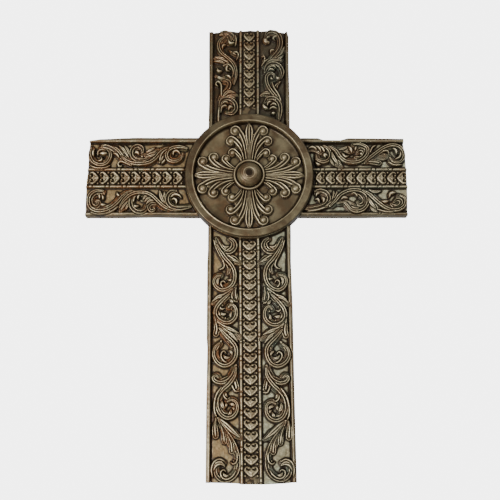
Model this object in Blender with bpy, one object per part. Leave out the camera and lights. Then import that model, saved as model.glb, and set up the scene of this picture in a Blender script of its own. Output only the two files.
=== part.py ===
# Wall cross
# A Latin cross with a raised ring and rosette where its arms meet, cast in one
# piece in resin and finished as antique bronze. Scrolled panels run along every
# arm, on both sides of a strip of small hearts.
#
# Frame: metres, Z up, X to the right as one faces the cross. The carved front
# faces -Y and the flat back lies at y = 0. The origin is on the back, behind
# the middle of the ring.
#
# The front is a relief: one height over every point of the outline. The lines of
# the ornament are laid out flat, the outline is filled with triangles that keep
# every line as an edge, and each corner is then raised to the relief's height.

import math

import bmesh
import bpy
import numpy as np
from mathutils import Vector
from mathutils.geometry import delaunay_2d_cdt

MM = 0.001

# How far each arm reaches from the middle of the ring
TOP_REACH = 158.6 * MM
FOOT_REACH = 298.4 * MM
LEFT_REACH = 163.3 * MM
RIGHT_REACH = 158.3 * MM

# Widths of the bars
UPRIGHT_WIDTH = 82.4 * MM
TOP_END_WIDTH = 83.2 * MM
FOOT_END_WIDTH = 85.4 * MM
SIDE_ARM_WIDTH = 81.2 * MM
FOOT_LEAN = 2.2 * MM

# Heights above the flat back
PANEL_FLOOR = 10.0 * MM
STRIP_FLOOR = 10.6 * MM
GROOVE_FLOOR = 9.2 * MM
RIM_HEIGHT = 13.0 * MM
EDGE_ROUNDING = 1.2 * MM
ROD_HEIGHT = 13.2 * MM
SCROLL_HEIGHT = 14.2 * MM
LEAF_HEIGHT = 13.4 * MM
HEART_HEIGHT = 13.8 * MM

# The strips that run along an arm, measured across it
STRIP_WIDTH = 14.6 * MM
ROD_WIDTH = 3.0 * MM
PANEL_MARGIN = 0.9 * MM
GROOVE_WIDTH = 2.6 * MM
RIM_WIDTH = 3.0 * MM
SIDE_ARM_PATTERN_DROP = 1.9 * MM
RIM_LIMB = 0.5 * MM

# The ring and the field inside it
RING_RADIUS = 63.6 * MM
RING_WIDTH = 7.4 * MM
RING_HEIGHT = 20.0 * MM
RING_LIP_RISE = 0.9 * MM
RING_WALL_RUN = 3.2 * MM
RING_STEP = 0.4 * MM
FIELD_HEIGHT = 13.2 * MM
PALMETTE_HEIGHT = 18.0 * MM
CIRCLE_SIDES = 64
OPEN_ARC_STEPS = 4
COVERED_ARC_STEPS = 14

# The boss in the middle
BOSS_BASE_RADIUS = 15.2 * MM
BOSS_RADIUS = 12.9 * MM
BOSS_BUTTON_RADIUS = 4.6 * MM
BOSS_BASE_HEIGHT = 18.4 * MM
BOSS_HEIGHT = 27.0 * MM
BOSS_SIDES = 32

# Hearts in the strips
HEART_PITCH = 10.35 * MM
HEART_WIDTH = 11.6 * MM
HEART_LENGTH = 8.6 * MM

# Scrolls
STEM_HALF_WIDTH = 2.1 * MM
SCROLL_TURNS = 1.45
EYE_SHARE = 0.14
SCROLL_STEP = math.radians(33)
STEM_POINTS = 5

# The moulded recess in the back that a nail or screw head goes into
HANGER_WIDTH = 13.0 * MM
HANGER_LENGTH = 22.0 * MM
HANGER_DEPTH = 7.0 * MM
HANGER_BELOW_TOP = 45.0 * MM
HANGER_END_STEPS = 8

# Worn ends. Each row is a place across the end, from -1 to 1, and how far the
# worn edge lies inside the full reach there.
TOP_END_WEAR = (
    (-0.98, 2.6 * MM), (-0.72, 1.7 * MM), (-0.5, 0.2 * MM), (-0.28, 1.5 * MM),
    (0.02, 0.0 * MM), (0.24, 0.9 * MM), (0.5, 0.0 * MM), (0.78, 1.8 * MM), (0.9, 2.2 * MM),
)
FOOT_END_WEAR = (
    (-0.98, 1.6 * MM), (-0.34, 1.0 * MM), (-0.2, 0.1 * MM), (0.3, 0.0 * MM), (0.74, 0.9 * MM),
    (0.95, 1.9 * MM),
)
LEFT_END_WEAR = (
    (-0.95, 0.4 * MM), (-0.6, 0.1 * MM), (-0.1, 0.3 * MM), (0.1, 1.2 * MM), (0.6, 1.5 * MM),
    (0.92, 2.2 * MM),
)
RIGHT_END_WEAR = (
    (-0.95, 0.9 * MM), (-0.5, 0.2 * MM), (0.0, 0.3 * MM), (0.55, 1.0 * MM), (0.85, 2.4 * MM),
)

# Worn sides. Each row is a share of the way from the ring to the end, and how
# far the worn edge lies inside the straight side there.
SIDE_WEAR = {
    ("left", -1): ((0.55, 0.0), (0.7, 0.7 * MM), (0.88, 1.6 * MM), (0.97, 3.2 * MM)),
    ("left", 1): ((0.3, 0.6 * MM), (0.7, 0.0)),
    ("right", 1): ((0.06, 0.2 * MM), (0.12, 2.4 * MM), (0.3, 2.6 * MM), (0.38, 0.3 * MM), (0.93, 1.0 * MM)),
    ("right", -1): ((0.5, 0.0), (0.7, 0.4 * MM)),
    ("top", 1): ((0.2, 0.3 * MM), (0.6, 0.0)),
    ("top", -1): ((0.2, 0.0), (0.55, 0.7 * MM), (0.92, 0.8 * MM), (0.97, 2.2 * MM)),
    ("foot", -1): ((0.05, 0.6 * MM), (0.11, 0.0), (0.42, 0.0), (0.46, 0.7 * MM), (0.7, 0.0)),
    ("foot", 1): ((0.1, 0.6 * MM), (0.3, 0.0), (0.6, 0.4 * MM)),
}

# Scrolls of each arm, from the ring outwards. Each row is the place along the
# arm from ring to end, the place across the panel from its inner to its outer
# edge, the radius as a share of the panel's width, and the way it winds.
SCROLLS = {
    "top": ((0.10, 0.42, 0.45, 1), (0.52, 0.46, 0.47, -1), (0.885, 0.4, 0.43, 1)),
    "foot": (
        (0.04, 0.49, 0.42, -1), (0.179, 0.54, 0.5, 1), (0.322, 0.49, 0.49, -1),
        (0.489, 0.52, 0.52, 1), (0.708, 0.49, 0.5, -1), (0.95, 0.52, 0.5, 1),
    ),
    "left": ((0.13, 0.44, 0.41, 1), (0.48, 0.5, 0.48, -1), (0.885, 0.45, 0.44, 1)),
    "right": ((0.12, 0.48, 0.4, 1), (0.48, 0.5, 0.48, -1), (0.905, 0.5, 0.43, 1)),
}

# Leaves and buds that fill the longer gaps. Each row is the place of the base and
# of the tip, along the arm and across the panel, and how far the leaf bends.
LEAVES = {
    "top": ((0.3, 0.1, 0.4, 0.3, -0.2), (0.7, 0.12, 0.8, 0.06, 0.2)),
    "foot": (
        (0.225, 0.1, 0.26, 0.12, 0.3), (0.33, 0.93, 0.4, 0.86, -0.2),
        (0.54, 0.12, 0.635, 0.06, 0.2), (0.565, 0.62, 0.595, 0.92, -0.5), (0.6, 0.95, 0.65, 0.9, 0.1),
        (0.735, 0.95, 0.815, 0.88, -0.1), (0.75, 0.66, 0.81, 0.02, 0.2), (0.79, 0.72, 0.845, 0.5, -0.2),
        (0.835, 0.47, 0.885, 0.28, -0.2), (0.89, 0.3, 0.93, 0.08, 0.1),
    ),
    "left": ((0.29, 0.12, 0.38, 0.04, -0.2), (0.7, 0.1, 0.62, 0.3, 0.3)),
    "right": ((0.26, 0.14, 0.34, 0.05, 0.2), (0.66, 0.32, 0.78, 0.14, 0.2)),
}
LEAF_HALF_WIDTH = 1.7 * MM
LEAF_TAPER = (0.45, 1.0, 0.95, 0.25)

# Fronds of a palmette, as shares of the field's radius: where the frond leaves
# the boss, how far out it turns aside, and the middle of the curl at its end.
FRONDS = (
    ((0.29, 0.045), (0.74, 0.09), (0.82, 0.235)),
    ((0.29, 0.115), (0.56, 0.12), (0.64, 0.31)),
    ((0.28, 0.185), (0.36, 0.17), (0.42, 0.3)),
)
SPEAR_LENGTH = 0.965
SPEAR_HALF_WIDTH = 0.085
FROND_HALF_WIDTHS = (0.024, 0.03, 0.038, 0.046, 0.058, 0.06)

# Distances that keep the lines of the ornament apart
LINE_MARGIN = 0.35 * MM
COVER_DEPTH = 0.5 * MM
MERGE_DISTANCE = 0.02 * MM
BORDER_HALVINGS = 14
LONG_LINE_PARTS = 8

# The bronze finish
BRONZE_COLOUR = (0.115, 0.085, 0.055, 1.0)
BRONZE_ROUGHNESS = 0.42
BRONZE_METALLIC = 0.55


# Arms
class Arm:
    """One arm: its direction, its widths, and the way its pattern lies on it."""

    def __init__(self, name, angle, reach, width, end_width, end_wear, lean=0.0, pattern_shift=0.0,
                 heart_sense=1):
        self.name = name
        self.along = np.array((math.cos(angle), math.sin(angle)))
        self.across = np.array((-math.sin(angle), math.cos(angle)))
        self.reach = reach
        self.half = width / 2
        self.end_half = end_width / 2
        self.end_wear = end_wear
        self.lean = lean
        self.shift = pattern_shift
        self.heart_sense = heart_sense

    def share(self, u):
        """Share of the way from the ring's edge to the end of the arm."""
        return (u - RING_RADIUS) / (self.reach - RING_RADIUS)

    def place(self, u, v):
        """Point of the face, u along the arm and v across it."""
        centre = self.lean * max(0.0, self.share(u))
        return tuple(self.along * u + self.across * (v + centre))

    def local(self, points):
        """Places along and across the arm for an array of points of the face."""
        u = points @ self.along
        v = points @ self.across - self.lean * np.maximum(0.0, self.share(u))
        return u, v

    def half_width(self, u):
        """Half the arm's width at u."""
        return self.half + (self.end_half - self.half) * np.clip(self.share(u), 0.0, 1.0)

    def station(self, share):
        """Distance from the middle for a share of the way to the end."""
        return RING_RADIUS + share * (self.reach - RING_RADIUS)

    def panel(self, side):
        """Inner and outer edge of the scroll panel on one side of the strip."""
        inner = STRIP_WIDTH / 2 + ROD_WIDTH + PANEL_MARGIN
        outer = self.half - side * self.shift - self.rim(side) - GROOVE_WIDTH
        return inner, max(outer, inner + PANEL_MARGIN)

    def rim(self, side):
        """Width of the rim on one side, wider where the pattern lies off centre."""
        return RIM_WIDTH - side * self.shift * 0.5

    def panel_point(self, side, along, across):
        """Point of the face at a share along the arm and across one panel."""
        inner, outer = self.panel(side)
        v = self.shift + side * (inner + across * (outer - inner))
        return self.place(self.station(along), v)


def make_arms():
    drop = SIDE_ARM_PATTERN_DROP
    return (
        Arm("right", 0.0, RIGHT_REACH, SIDE_ARM_WIDTH, SIDE_ARM_WIDTH, RIGHT_END_WEAR,
            pattern_shift=-drop, heart_sense=-1),
        Arm("top", math.pi / 2, TOP_REACH, UPRIGHT_WIDTH, TOP_END_WIDTH, TOP_END_WEAR, heart_sense=-1),
        Arm("left", math.pi, LEFT_REACH, SIDE_ARM_WIDTH, SIDE_ARM_WIDTH, LEFT_END_WEAR,
            pattern_shift=drop, heart_sense=-1),
        Arm("foot", -math.pi / 2, FOOT_REACH, UPRIGHT_WIDTH, FOOT_END_WIDTH, FOOT_END_WEAR,
            lean=FOOT_LEAN, heart_sense=1),
    )


# Outline
def end_point(arm, place, inset):
    return arm.place(arm.reach - inset, place * arm.end_half)


def side_points(arm, side):
    """Worn side of an arm, from the ring to the end, without its two corners."""
    points = []
    for share, inset in SIDE_WEAR[(arm.name, side)]:
        u = arm.station(share)
        points.append(arm.place(u, side * (float(arm.half_width(u)) - inset)))
    return points


def ring_corner(arm, side):
    """Where the side of an arm meets the ring's outer circle."""
    u = math.sqrt(RING_RADIUS ** 2 - arm.half ** 2)
    return arm.place(u, side * arm.half)


def ring_arc(start, end, steps):
    """Points of the ring's outer circle between two of its points."""
    first = math.atan2(start[1], start[0])
    span = (math.atan2(end[1], end[0]) - first) % (2 * math.pi)
    turns = [first + span * i / steps for i in range(1, steps)]
    return [(RING_RADIUS * math.cos(a), RING_RADIUS * math.sin(a)) for a in turns]


def between_arms(arm, following):
    """The ring's arc from one arm to the next, or their meeting corner where no arc shows."""
    leaves, meets = ring_corner(arm, 1), ring_corner(following, -1)
    arc_shows = leaves[0] * meets[1] > leaves[1] * meets[0]
    if arc_shows:
        return [leaves] + ring_arc(leaves, meets, OPEN_ARC_STEPS) + [meets]
    return [tuple(arm.along * following.half + arm.across * arm.half)]


def cross_outline(arms):
    """The whole outline, anticlockwise as seen from the front."""
    points = []
    for arm, following in zip(arms, arms[1:] + arms[:1]):
        points += side_points(arm, -1)
        # Worn ends are listed from left to right for the upright, from foot to top for the side arms.
        wear = arm.end_wear if arm.name in ("right", "foot") else arm.end_wear[::-1]
        sign = 1 if arm.name in ("right", "foot") else -1
        points += [end_point(arm, sign * place, inset) for place, inset in wear]
        points += side_points(arm, 1)[::-1]
        points += between_arms(arm, following)
    return points


# Flat geometry on arrays of points
def inside(points, polygon):
    """Which of the points lie inside a closed polygon."""
    result = np.zeros(len(points), dtype=bool)
    x, z = points[:, 0], points[:, 1]
    for (x0, z0), (x1, z1) in zip(polygon, polygon[1:] + polygon[:1]):
        if z0 == z1:
            continue
        crosses = (z0 > z) != (z1 > z)
        result ^= crosses & (x < (x1 - x0) * (z - z0) / (z1 - z0) + x0)
    return result


def distance(points, line):
    """Distance of each point to a broken line."""
    nearest = np.full(len(points), np.inf)
    for start, end in zip(line, line[1:]):
        a = np.array(start)
        run = np.array(end) - a
        along = np.clip(((points - a) @ run) / max(run @ run, 1e-18), 0.0, 1.0)
        gap = points - a - along[:, None] * run
        nearest = np.minimum(nearest, np.hypot(gap[:, 0], gap[:, 1]))
    return nearest


# Raised forms: a foot line around the form and a crest line along its top
class Form:
    def __init__(self, foot, crest, height, floor):
        self.foot = [tuple(p) for p in foot]
        self.crest = [tuple(p) for p in crest]
        self.height = height
        self.floor = floor
        self.low = np.min(self.foot, axis=0)
        self.high = np.max(self.foot, axis=0)

    def relief(self, points):
        """Height of the form over each point, its floor outside it."""
        heights = np.full(len(points), self.floor)
        near = np.all((points >= self.low) & (points <= self.high), axis=1)
        chosen = np.flatnonzero(near)
        chosen = chosen[inside(points[chosen], self.foot)]
        if len(chosen) == 0:
            return heights
        to_foot = distance(points[chosen], self.foot + self.foot[:1])
        to_crest = distance(points[chosen], self.crest)
        share = to_foot / np.maximum(to_foot + to_crest, 1e-12)
        heights[chosen] = self.floor + (self.height - self.floor) * share
        return heights


def uncovered(points, level, form, others):
    """Which points of a line, at the given level, no other form rises above."""
    free = np.ones(len(points), dtype=bool)
    low, high = points.min(axis=0), points.max(axis=0)
    for other in others:
        if other is form or np.any(other.low > high) or np.any(other.high < low):
            continue
        free &= other.relief(points) < level + COVER_DEPTH
    return free


def ridge(line, widths, height, floor):
    """A raised stem along a line, with a half width at each of its points."""
    line = [np.array(p) for p in line]
    left = []
    right = []
    for i, point in enumerate(line):
        before = line[max(i - 1, 0)]
        after = line[min(i + 1, len(line) - 1)]
        heading = (after - before) / np.linalg.norm(after - before)
        normal = np.array((-heading[1], heading[0]))
        left.append(point + normal * widths[i])
        right.append(point - normal * widths[i])
    start = line[0] - (line[1] - line[0]) / np.linalg.norm(line[1] - line[0]) * widths[0]
    end = line[-1] + (line[-1] - line[-2]) / np.linalg.norm(line[-1] - line[-2]) * widths[-1]
    return Form([start] + left + [end] + right[::-1], line, height, floor)


def bezier(start, bend, end, count):
    """Points of a curve that leaves start towards bend and reaches end."""
    a, b, c = (np.array(p) for p in (start, bend, end))
    shares = [i / (count - 1) for i in range(count)]
    return [a * (1 - t) ** 2 + b * 2 * t * (1 - t) + c * t ** 2 for t in shares]


def leaf(base, tip, bend, half_width, height, floor):
    """A curved leaf, widest past its middle, with a crest along its length."""
    base, tip = np.array(base), np.array(tip)
    run = tip - base
    aside = np.array((-run[1], run[0]))
    line = bezier(base, (base + tip) / 2 + aside * bend, tip, len(LEAF_TAPER))
    widths = [half_width * w for w in LEAF_TAPER]
    return ridge(line, widths, height, floor)


# Scrolls
class Circle:
    def __init__(self, centre, radius, sense):
        self.centre = np.array(centre)
        self.radius = radius
        self.sense = sense

    def point(self, angle, radius=None):
        reach = self.radius if radius is None else radius
        return self.centre + reach * np.array((math.cos(angle), math.sin(angle)))


def crossing_stem(first, second):
    """Angles at which a stem leaves one scroll and reaches the next one."""
    gap = second.centre - first.centre
    heading = math.atan2(gap[1], gap[0])
    closeness = min((first.radius + second.radius) / np.linalg.norm(gap), 0.97)
    offset = math.acos(closeness) * first.sense
    return heading - offset, heading + math.pi - offset


def spiral_line(circle, start):
    """Crest line that winds in from the scroll's outside to its eye."""
    count = round(SCROLL_TURNS * 2 * math.pi / SCROLL_STEP)
    points = []
    for i in range(count + 1):
        share = i / count
        radius = circle.radius * (1 - (1 - EYE_SHARE) * share ** 1.4)
        angle = start + circle.sense * SCROLL_TURNS * 2 * math.pi * share
        points.append(circle.point(angle, radius))
    return points


def tapered(count, first, last):
    return [first + (last - first) * i / (count - 1) for i in range(count)]


def stem_leaves(begin, end, stem):
    """A short leaf on each side of the stem between two scrolls."""
    gap = end - begin
    heading = gap / np.linalg.norm(gap)
    aside = np.array((-heading[1], heading[0]))
    reach = min(0.3 * np.linalg.norm(gap), 3.4 * stem)
    forms = []
    for hand, share in ((1, 0.22), (-1, 0.5)):
        base = begin + gap * share + aside * hand * (stem + LINE_MARGIN)
        tip = base + heading * reach * 0.9 + aside * hand * reach
        forms.append(leaf(base, tip, 0.2 * hand, LEAF_HALF_WIDTH, LEAF_HEIGHT, PANEL_FLOOR))
    return forms


def scroll_forms(arm, side):
    """The running scrolls of one panel, each branching from the one before."""
    inner, outer = arm.panel(side)
    width = outer - inner
    stem = min(STEM_HALF_WIDTH, width * 0.12)
    circles = []
    for along, across, radius, sense in SCROLLS[arm.name]:
        centre = arm.panel_point(side, along, across)
        circles.append(Circle(centre, radius * width - stem * 0.8, sense * side))
    start = math.atan2(*arm.along[::-1]) + math.pi * (1 - 0.25 * circles[0].sense)
    lines = [spiral_line(circles[0], start)]
    forms = []
    for first, second in zip(circles, circles[1:]):
        leaves, reaches = crossing_stem(first, second)
        begin, end = first.point(leaves), second.point(reaches)
        forms += stem_leaves(begin, end, stem)
        shares = np.linspace(0.08, 1.0, STEM_POINTS, endpoint=False)
        lines.append([begin + (end - begin) * share for share in shares] + spiral_line(second, reaches))
    for line in lines:
        widths = tapered(len(line), stem, stem * 0.6)
        widths[0] = stem * 0.6
        widths[-1] = stem * 0.85
        forms.append(ridge(line, widths, SCROLL_HEIGHT, PANEL_FLOOR))
    return forms


def leaf_forms(arm, side):
    forms = []
    for base_along, base_across, tip_along, tip_across, bend in LEAVES[arm.name]:
        base = arm.panel_point(side, base_along, base_across)
        tip = arm.panel_point(side, tip_along, tip_across)
        forms.append(leaf(base, tip, bend * side, LEAF_HALF_WIDTH, LEAF_HEIGHT, PANEL_FLOOR))
    return forms


# Hearts
def heart_form(arm, u):
    """One heart with its point along the arm, or back towards the ring."""
    half = HEART_WIDTH / 2
    length = HEART_LENGTH / 2
    outline = ((1.0, 0.0), (0.2, 0.78), (-0.45, 1.0), (-0.95, 0.62), (-0.6, 0.0),
               (-0.95, -0.62), (-0.45, -1.0), (0.2, -0.78))
    crest = ((-0.5, 0.6), (0.55, 0.0), (-0.5, -0.6))
    foot_line = [arm.place(u + arm.heart_sense * a * length, arm.shift + b * half) for a, b in outline]
    crest_line = [arm.place(u + arm.heart_sense * a * length, arm.shift + b * half) for a, b in crest]
    return Form(foot_line, crest_line, HEART_HEIGHT, STRIP_FLOOR)


def heart_forms(arm):
    length = arm.reach - RING_RADIUS
    count = int((length - HEART_LENGTH * 0.5) // HEART_PITCH)
    first = arm.reach - HEART_LENGTH * 0.75 - (count - 1) * HEART_PITCH
    return [heart_form(arm, first + i * HEART_PITCH) for i in range(count)]


# Palmettes
def field_radius():
    """Where the level field inside the ring ends at the foot of its wall."""
    return RING_RADIUS - RING_WIDTH - RING_WALL_RUN


def palmette_forms(angle):
    """A pointed rib with three curled fronds on each side, pointing outwards."""
    radius = field_radius()
    out = np.array((math.cos(angle), math.sin(angle)))
    aside = np.array((-math.sin(angle), math.cos(angle)))

    def place(share):
        return (out * share[0] + aside * share[1]) * radius

    half = SPEAR_HALF_WIDTH * radius
    waist = BOSS_BASE_RADIUS / radius
    spear = ((waist, 0.25), (0.6, 0.3), (0.74, 0.95), (0.8, 1.0), (SPEAR_LENGTH, 0.0))
    left = [place((a, 0.0)) + aside * b * half for a, b in spear]
    right = [place((a, 0.0)) - aside * b * half for a, b in spear[-2::-1]]
    crest = [place((waist + 0.02, 0.0)), place((0.62, 0.0)), place((SPEAR_LENGTH - 0.06, 0.0))]
    forms = [Form(left + right, crest, PALMETTE_HEIGHT, FIELD_HEIGHT)]
    for side in (-1, 1):
        for start, bend, curl in FRONDS:
            a, b, c = (place((p[0], p[1] * side)) for p in (start, bend, curl))
            line = bezier(a, b, c, len(FROND_HALF_WIDTHS))
            widths = [w * radius for w in FROND_HALF_WIDTHS]
            forms.append(ridge(line, widths, PALMETTE_HEIGHT, FIELD_HEIGHT))
    return forms


# Heights of the plain forms under the ornament
def ring_profile():
    """Distances from the middle and heights there, out to the ring's edge."""
    face_inner = RING_RADIUS - RING_WIDTH
    wall_foot = field_radius()
    lip = RING_HEIGHT + RING_LIP_RISE
    dome = BOSS_HEIGHT - BOSS_BASE_HEIGHT
    return (
        (0.0, BOSS_HEIGHT),
        (BOSS_BUTTON_RADIUS, BOSS_HEIGHT - 0.06 * dome),
        (BOSS_BUTTON_RADIUS + 0.08 * BOSS_RADIUS, BOSS_HEIGHT - 0.2 * dome),
        (0.72 * BOSS_RADIUS, BOSS_HEIGHT - 0.42 * dome),
        (0.9 * BOSS_RADIUS, BOSS_HEIGHT - 0.72 * dome),
        (BOSS_RADIUS, BOSS_BASE_HEIGHT - 0.25 * dome),
        (0.5 * (BOSS_RADIUS + BOSS_BASE_RADIUS), BOSS_BASE_HEIGHT),
        (BOSS_BASE_RADIUS, FIELD_HEIGHT),
        (wall_foot, FIELD_HEIGHT),
        (face_inner - 0.35 * RING_WALL_RUN, FIELD_HEIGHT + 0.45 * (lip - FIELD_HEIGHT)),
        (face_inner, lip),
        (face_inner + 0.14 * RING_WIDTH, RING_HEIGHT),
        (RING_RADIUS - 0.16 * RING_WIDTH, RING_HEIGHT - 0.6 * RING_LIP_RISE),
        (RING_RADIUS - RING_STEP, RING_HEIGHT - 1.6 * RING_LIP_RISE),
    )


def arm_heights(arms, points):
    """Height of the arms' rims, grooves, rods and floors at each point."""
    heights = np.full(len(points), np.nan)
    strip = STRIP_WIDTH / 2
    for arm in arms:
        u, v = arm.local(points)
        edge = arm.half_width(u) - np.abs(v)
        on_arm = (u > 0) & (edge > -LINE_MARGIN)
        t = np.abs(v - arm.shift)
        side = np.sign(v)
        rim = RIM_WIDTH - side * arm.shift * 0.5
        stops = (0.0, strip, strip + ROD_WIDTH / 2, strip + ROD_WIDTH, strip + ROD_WIDTH + PANEL_MARGIN)
        levels = (STRIP_FLOOR, STRIP_FLOOR, ROD_HEIGHT, PANEL_FLOOR, PANEL_FLOOR)
        field = np.interp(t, stops, levels)
        # Distance in from the edge, as places on the rim's own profile
        place = np.where(edge < rim, edge / rim, 1.0 + (edge - rim) / RIM_LIMB)
        groove_end = 2.0 + (GROOVE_WIDTH - RIM_LIMB) / RIM_LIMB
        rim_stops = (0.0, 0.3, 1.0, 2.0, groove_end, groove_end + 0.5)
        rim_levels = (RIM_HEIGHT - EDGE_ROUNDING, RIM_HEIGHT, RIM_HEIGHT, GROOVE_FLOOR, GROOVE_FLOOR, 0.0)
        border = np.interp(place, rim_stops, rim_levels)
        level = np.where(edge < rim + GROOVE_WIDTH, border, field)
        heights = np.where(on_arm & np.isnan(heights), level, heights)
    return heights


def relief_heights(arms, points, forms):
    """Height of the finished front above the back at each point of the face."""
    radius = np.hypot(points[:, 0], points[:, 1])
    stops, levels = zip(*ring_profile())
    ring = np.interp(radius, stops, levels)
    on_ring = radius < RING_RADIUS - RING_STEP / 2
    field = arm_heights(arms, points)
    bare = np.where(np.isnan(field), levels[-1], field)
    heights = np.where(on_ring, ring, bare)
    for form in forms["panels"]:
        heights = np.where(on_ring, heights, np.maximum(heights, form.relief(points)))
    for form in forms["palmettes"]:
        heights = np.where(radius < field_radius(), np.maximum(heights, form.relief(points)), heights)
    return heights


# Lines that the triangles have to follow
def arm_lines(arm):
    """Straight lines of an arm's rims, grooves, rods and strip."""
    lines = []
    last = arm.reach
    for side in (-1, 1):
        strip = STRIP_WIDTH / 2
        for t in (strip, strip + ROD_WIDTH / 2, strip + ROD_WIDTH):
            lines.append([(u, arm.shift + side * t) for u in (0.0, RING_RADIUS, last)])
        rim = arm.rim(side)
        for inset in (0.3 * rim, rim, rim + RIM_LIMB, rim + GROOVE_WIDTH):
            stations = [arm.station(share) for share in (-0.6, 0.0, 1.0)]
            lines.append([(u, side * (float(arm.half_width(u)) - inset)) for u in stations])
    return [[arm.place(u, v) for u, v in line] for line in lines]


def circle_line(radius, sides):
    turns = [2 * math.pi * i / sides for i in range(sides + 1)]
    return [(radius * math.cos(a), radius * math.sin(a)) for a in turns]


def border_point(good, bad, allowed):
    """The last allowed point on the way from a good point to a bad one."""
    good, bad = np.array(good), np.array(bad)
    for _ in range(BORDER_HALVINGS):
        middle = (good + bad) / 2
        if allowed(middle[None, :])[0]:
            good = middle
        else:
            bad = middle
    return tuple(good)


class Lines:
    """Corners and edges for the triangulation, kept inside an allowed region."""

    def __init__(self):
        self.corners = []
        self.edges = []

    def run(self, points):
        """Adds one unbroken stretch."""
        first = len(self.corners)
        self.corners += [Vector(p) for p in points]
        self.edges += [(i, i + 1) for i in range(first, first + len(points) - 1)]

    def add_free(self, line, region, form, level, others):
        """Adds the stretches of a form's line that no other form covers."""
        array = np.array(line)
        free = uncovered(array, level, form, others)
        stretch = []
        for point, good in zip(line, free):
            if good:
                stretch.append(point)
            elif len(stretch) > 1:
                self.add(stretch, region)
            if not good:
                stretch = []
        if len(stretch) > 1:
            self.add(stretch, region)

    def add(self, line, allowed, parts=1):
        """Adds the stretches of a line that lie where allowed says."""
        points = [tuple(np.array(a) * (1 - i / parts) + np.array(b) * i / parts)
                  for a, b in zip(line, line[1:]) for i in range(parts)] + [tuple(line[-1])]
        keep = allowed(np.array(points))
        stretch = []
        for i, point in enumerate(points):
            if keep[i]:
                if i > 0 and not keep[i - 1]:
                    stretch = [border_point(point, points[i - 1], allowed)]
                if parts == 1 or i % parts == 0:
                    stretch.append(point)
            elif i > 0 and keep[i - 1]:
                stretch.append(border_point(points[i - 1], point, allowed))
                self.run(stretch)
                stretch = []
        if len(stretch) > 1:
            self.run(stretch)


def relief_triangles(arms, outline, forms):
    """Corners and triangles of the front, with every line kept as an edge."""
    lines = Lines()
    closed = outline + outline[:1]

    def within(points):
        return inside(points, outline) & (distance(points, closed) > LINE_MARGIN)

    def on_arms(points):
        radius = np.hypot(points[:, 0], points[:, 1])
        return within(points) & (radius > RING_RADIUS + LINE_MARGIN)

    def on_field(points):
        radius = np.hypot(points[:, 0], points[:, 1])
        return (radius > BOSS_BASE_RADIUS + LINE_MARGIN) & (radius < field_radius() - LINE_MARGIN)

    def anywhere(points):
        return np.ones(len(points), dtype=bool)

    # The outline comes first, as one closed run of edges
    count = len(outline)
    lines.corners = [Vector(p) for p in outline]
    lines.edges = [(i, (i + 1) % count) for i in range(count)]
    for arm in arms:
        start, end = ring_corner(arm, -1), ring_corner(arm, 1)
        lines.add([start] + ring_arc(start, end, COVERED_ARC_STEPS) + [end], anywhere)
        for line in arm_lines(arm):
            lines.add(line, on_arms, parts=LONG_LINE_PARTS)
    for radius, _ in ring_profile()[1:]:
        sides = CIRCLE_SIDES if radius > BOSS_BASE_RADIUS else BOSS_SIDES
        lines.add(circle_line(radius, sides), anywhere)
    for region, group in ((on_arms, "panels"), (on_field, "palmettes")):
        for form in forms[group]:
            lines.add_free(form.foot + form.foot[:1], region, form, form.floor, forms[group])
            lines.add_free(form.crest, region, form, form.height, forms[group])
    corners, _, faces, _, _, _ = delaunay_2d_cdt(lines.corners, lines.edges, [], 0, MERGE_DISTANCE)
    points = np.array([tuple(c) for c in corners])
    middles = np.array([points[list(face)].mean(axis=0) for face in faces])
    kept = inside(middles, outline)
    return points, [tuple(face) for face, good in zip(faces, kept) if good]


# The solid
def face_is_anticlockwise(points, face):
    a, b, c = (points[i] for i in face[:3])
    return (b[0] - a[0]) * (c[1] - a[1]) > (b[1] - a[1]) * (c[0] - a[0])


def relief_solid(name, points, triangles, heights):
    """Closes the raised front with walls and a flat back."""
    mesh = bmesh.new()
    used = sorted({i for face in triangles for i in face})
    front = {i: mesh.verts.new((points[i][0], -heights[i], points[i][1])) for i in used}
    for face in triangles:
        order = face if face_is_anticlockwise(points, face) else face[::-1]
        mesh.faces.new([front[i] for i in order])
    border = [edge for edge in mesh.edges if len(edge.link_faces) == 1]
    back = {}
    for edge in border:
        for vert in edge.verts:
            if vert not in back:
                back[vert] = mesh.verts.new((vert.co.x, 0.0, vert.co.z))
    for edge in border:
        loop = edge.link_loops[0]
        first, second = loop.vert, loop.link_loop_next.vert
        mesh.faces.new((second, first, back[first], back[second]))
    rim = [edge for edge in mesh.edges if len(edge.link_faces) == 1]
    bmesh.ops.contextual_create(mesh, geom=rim)
    bmesh.ops.recalc_face_normals(mesh, faces=mesh.faces)
    data = bpy.data.meshes.new(name)
    mesh.to_mesh(data)
    mesh.free()
    return data


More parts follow.
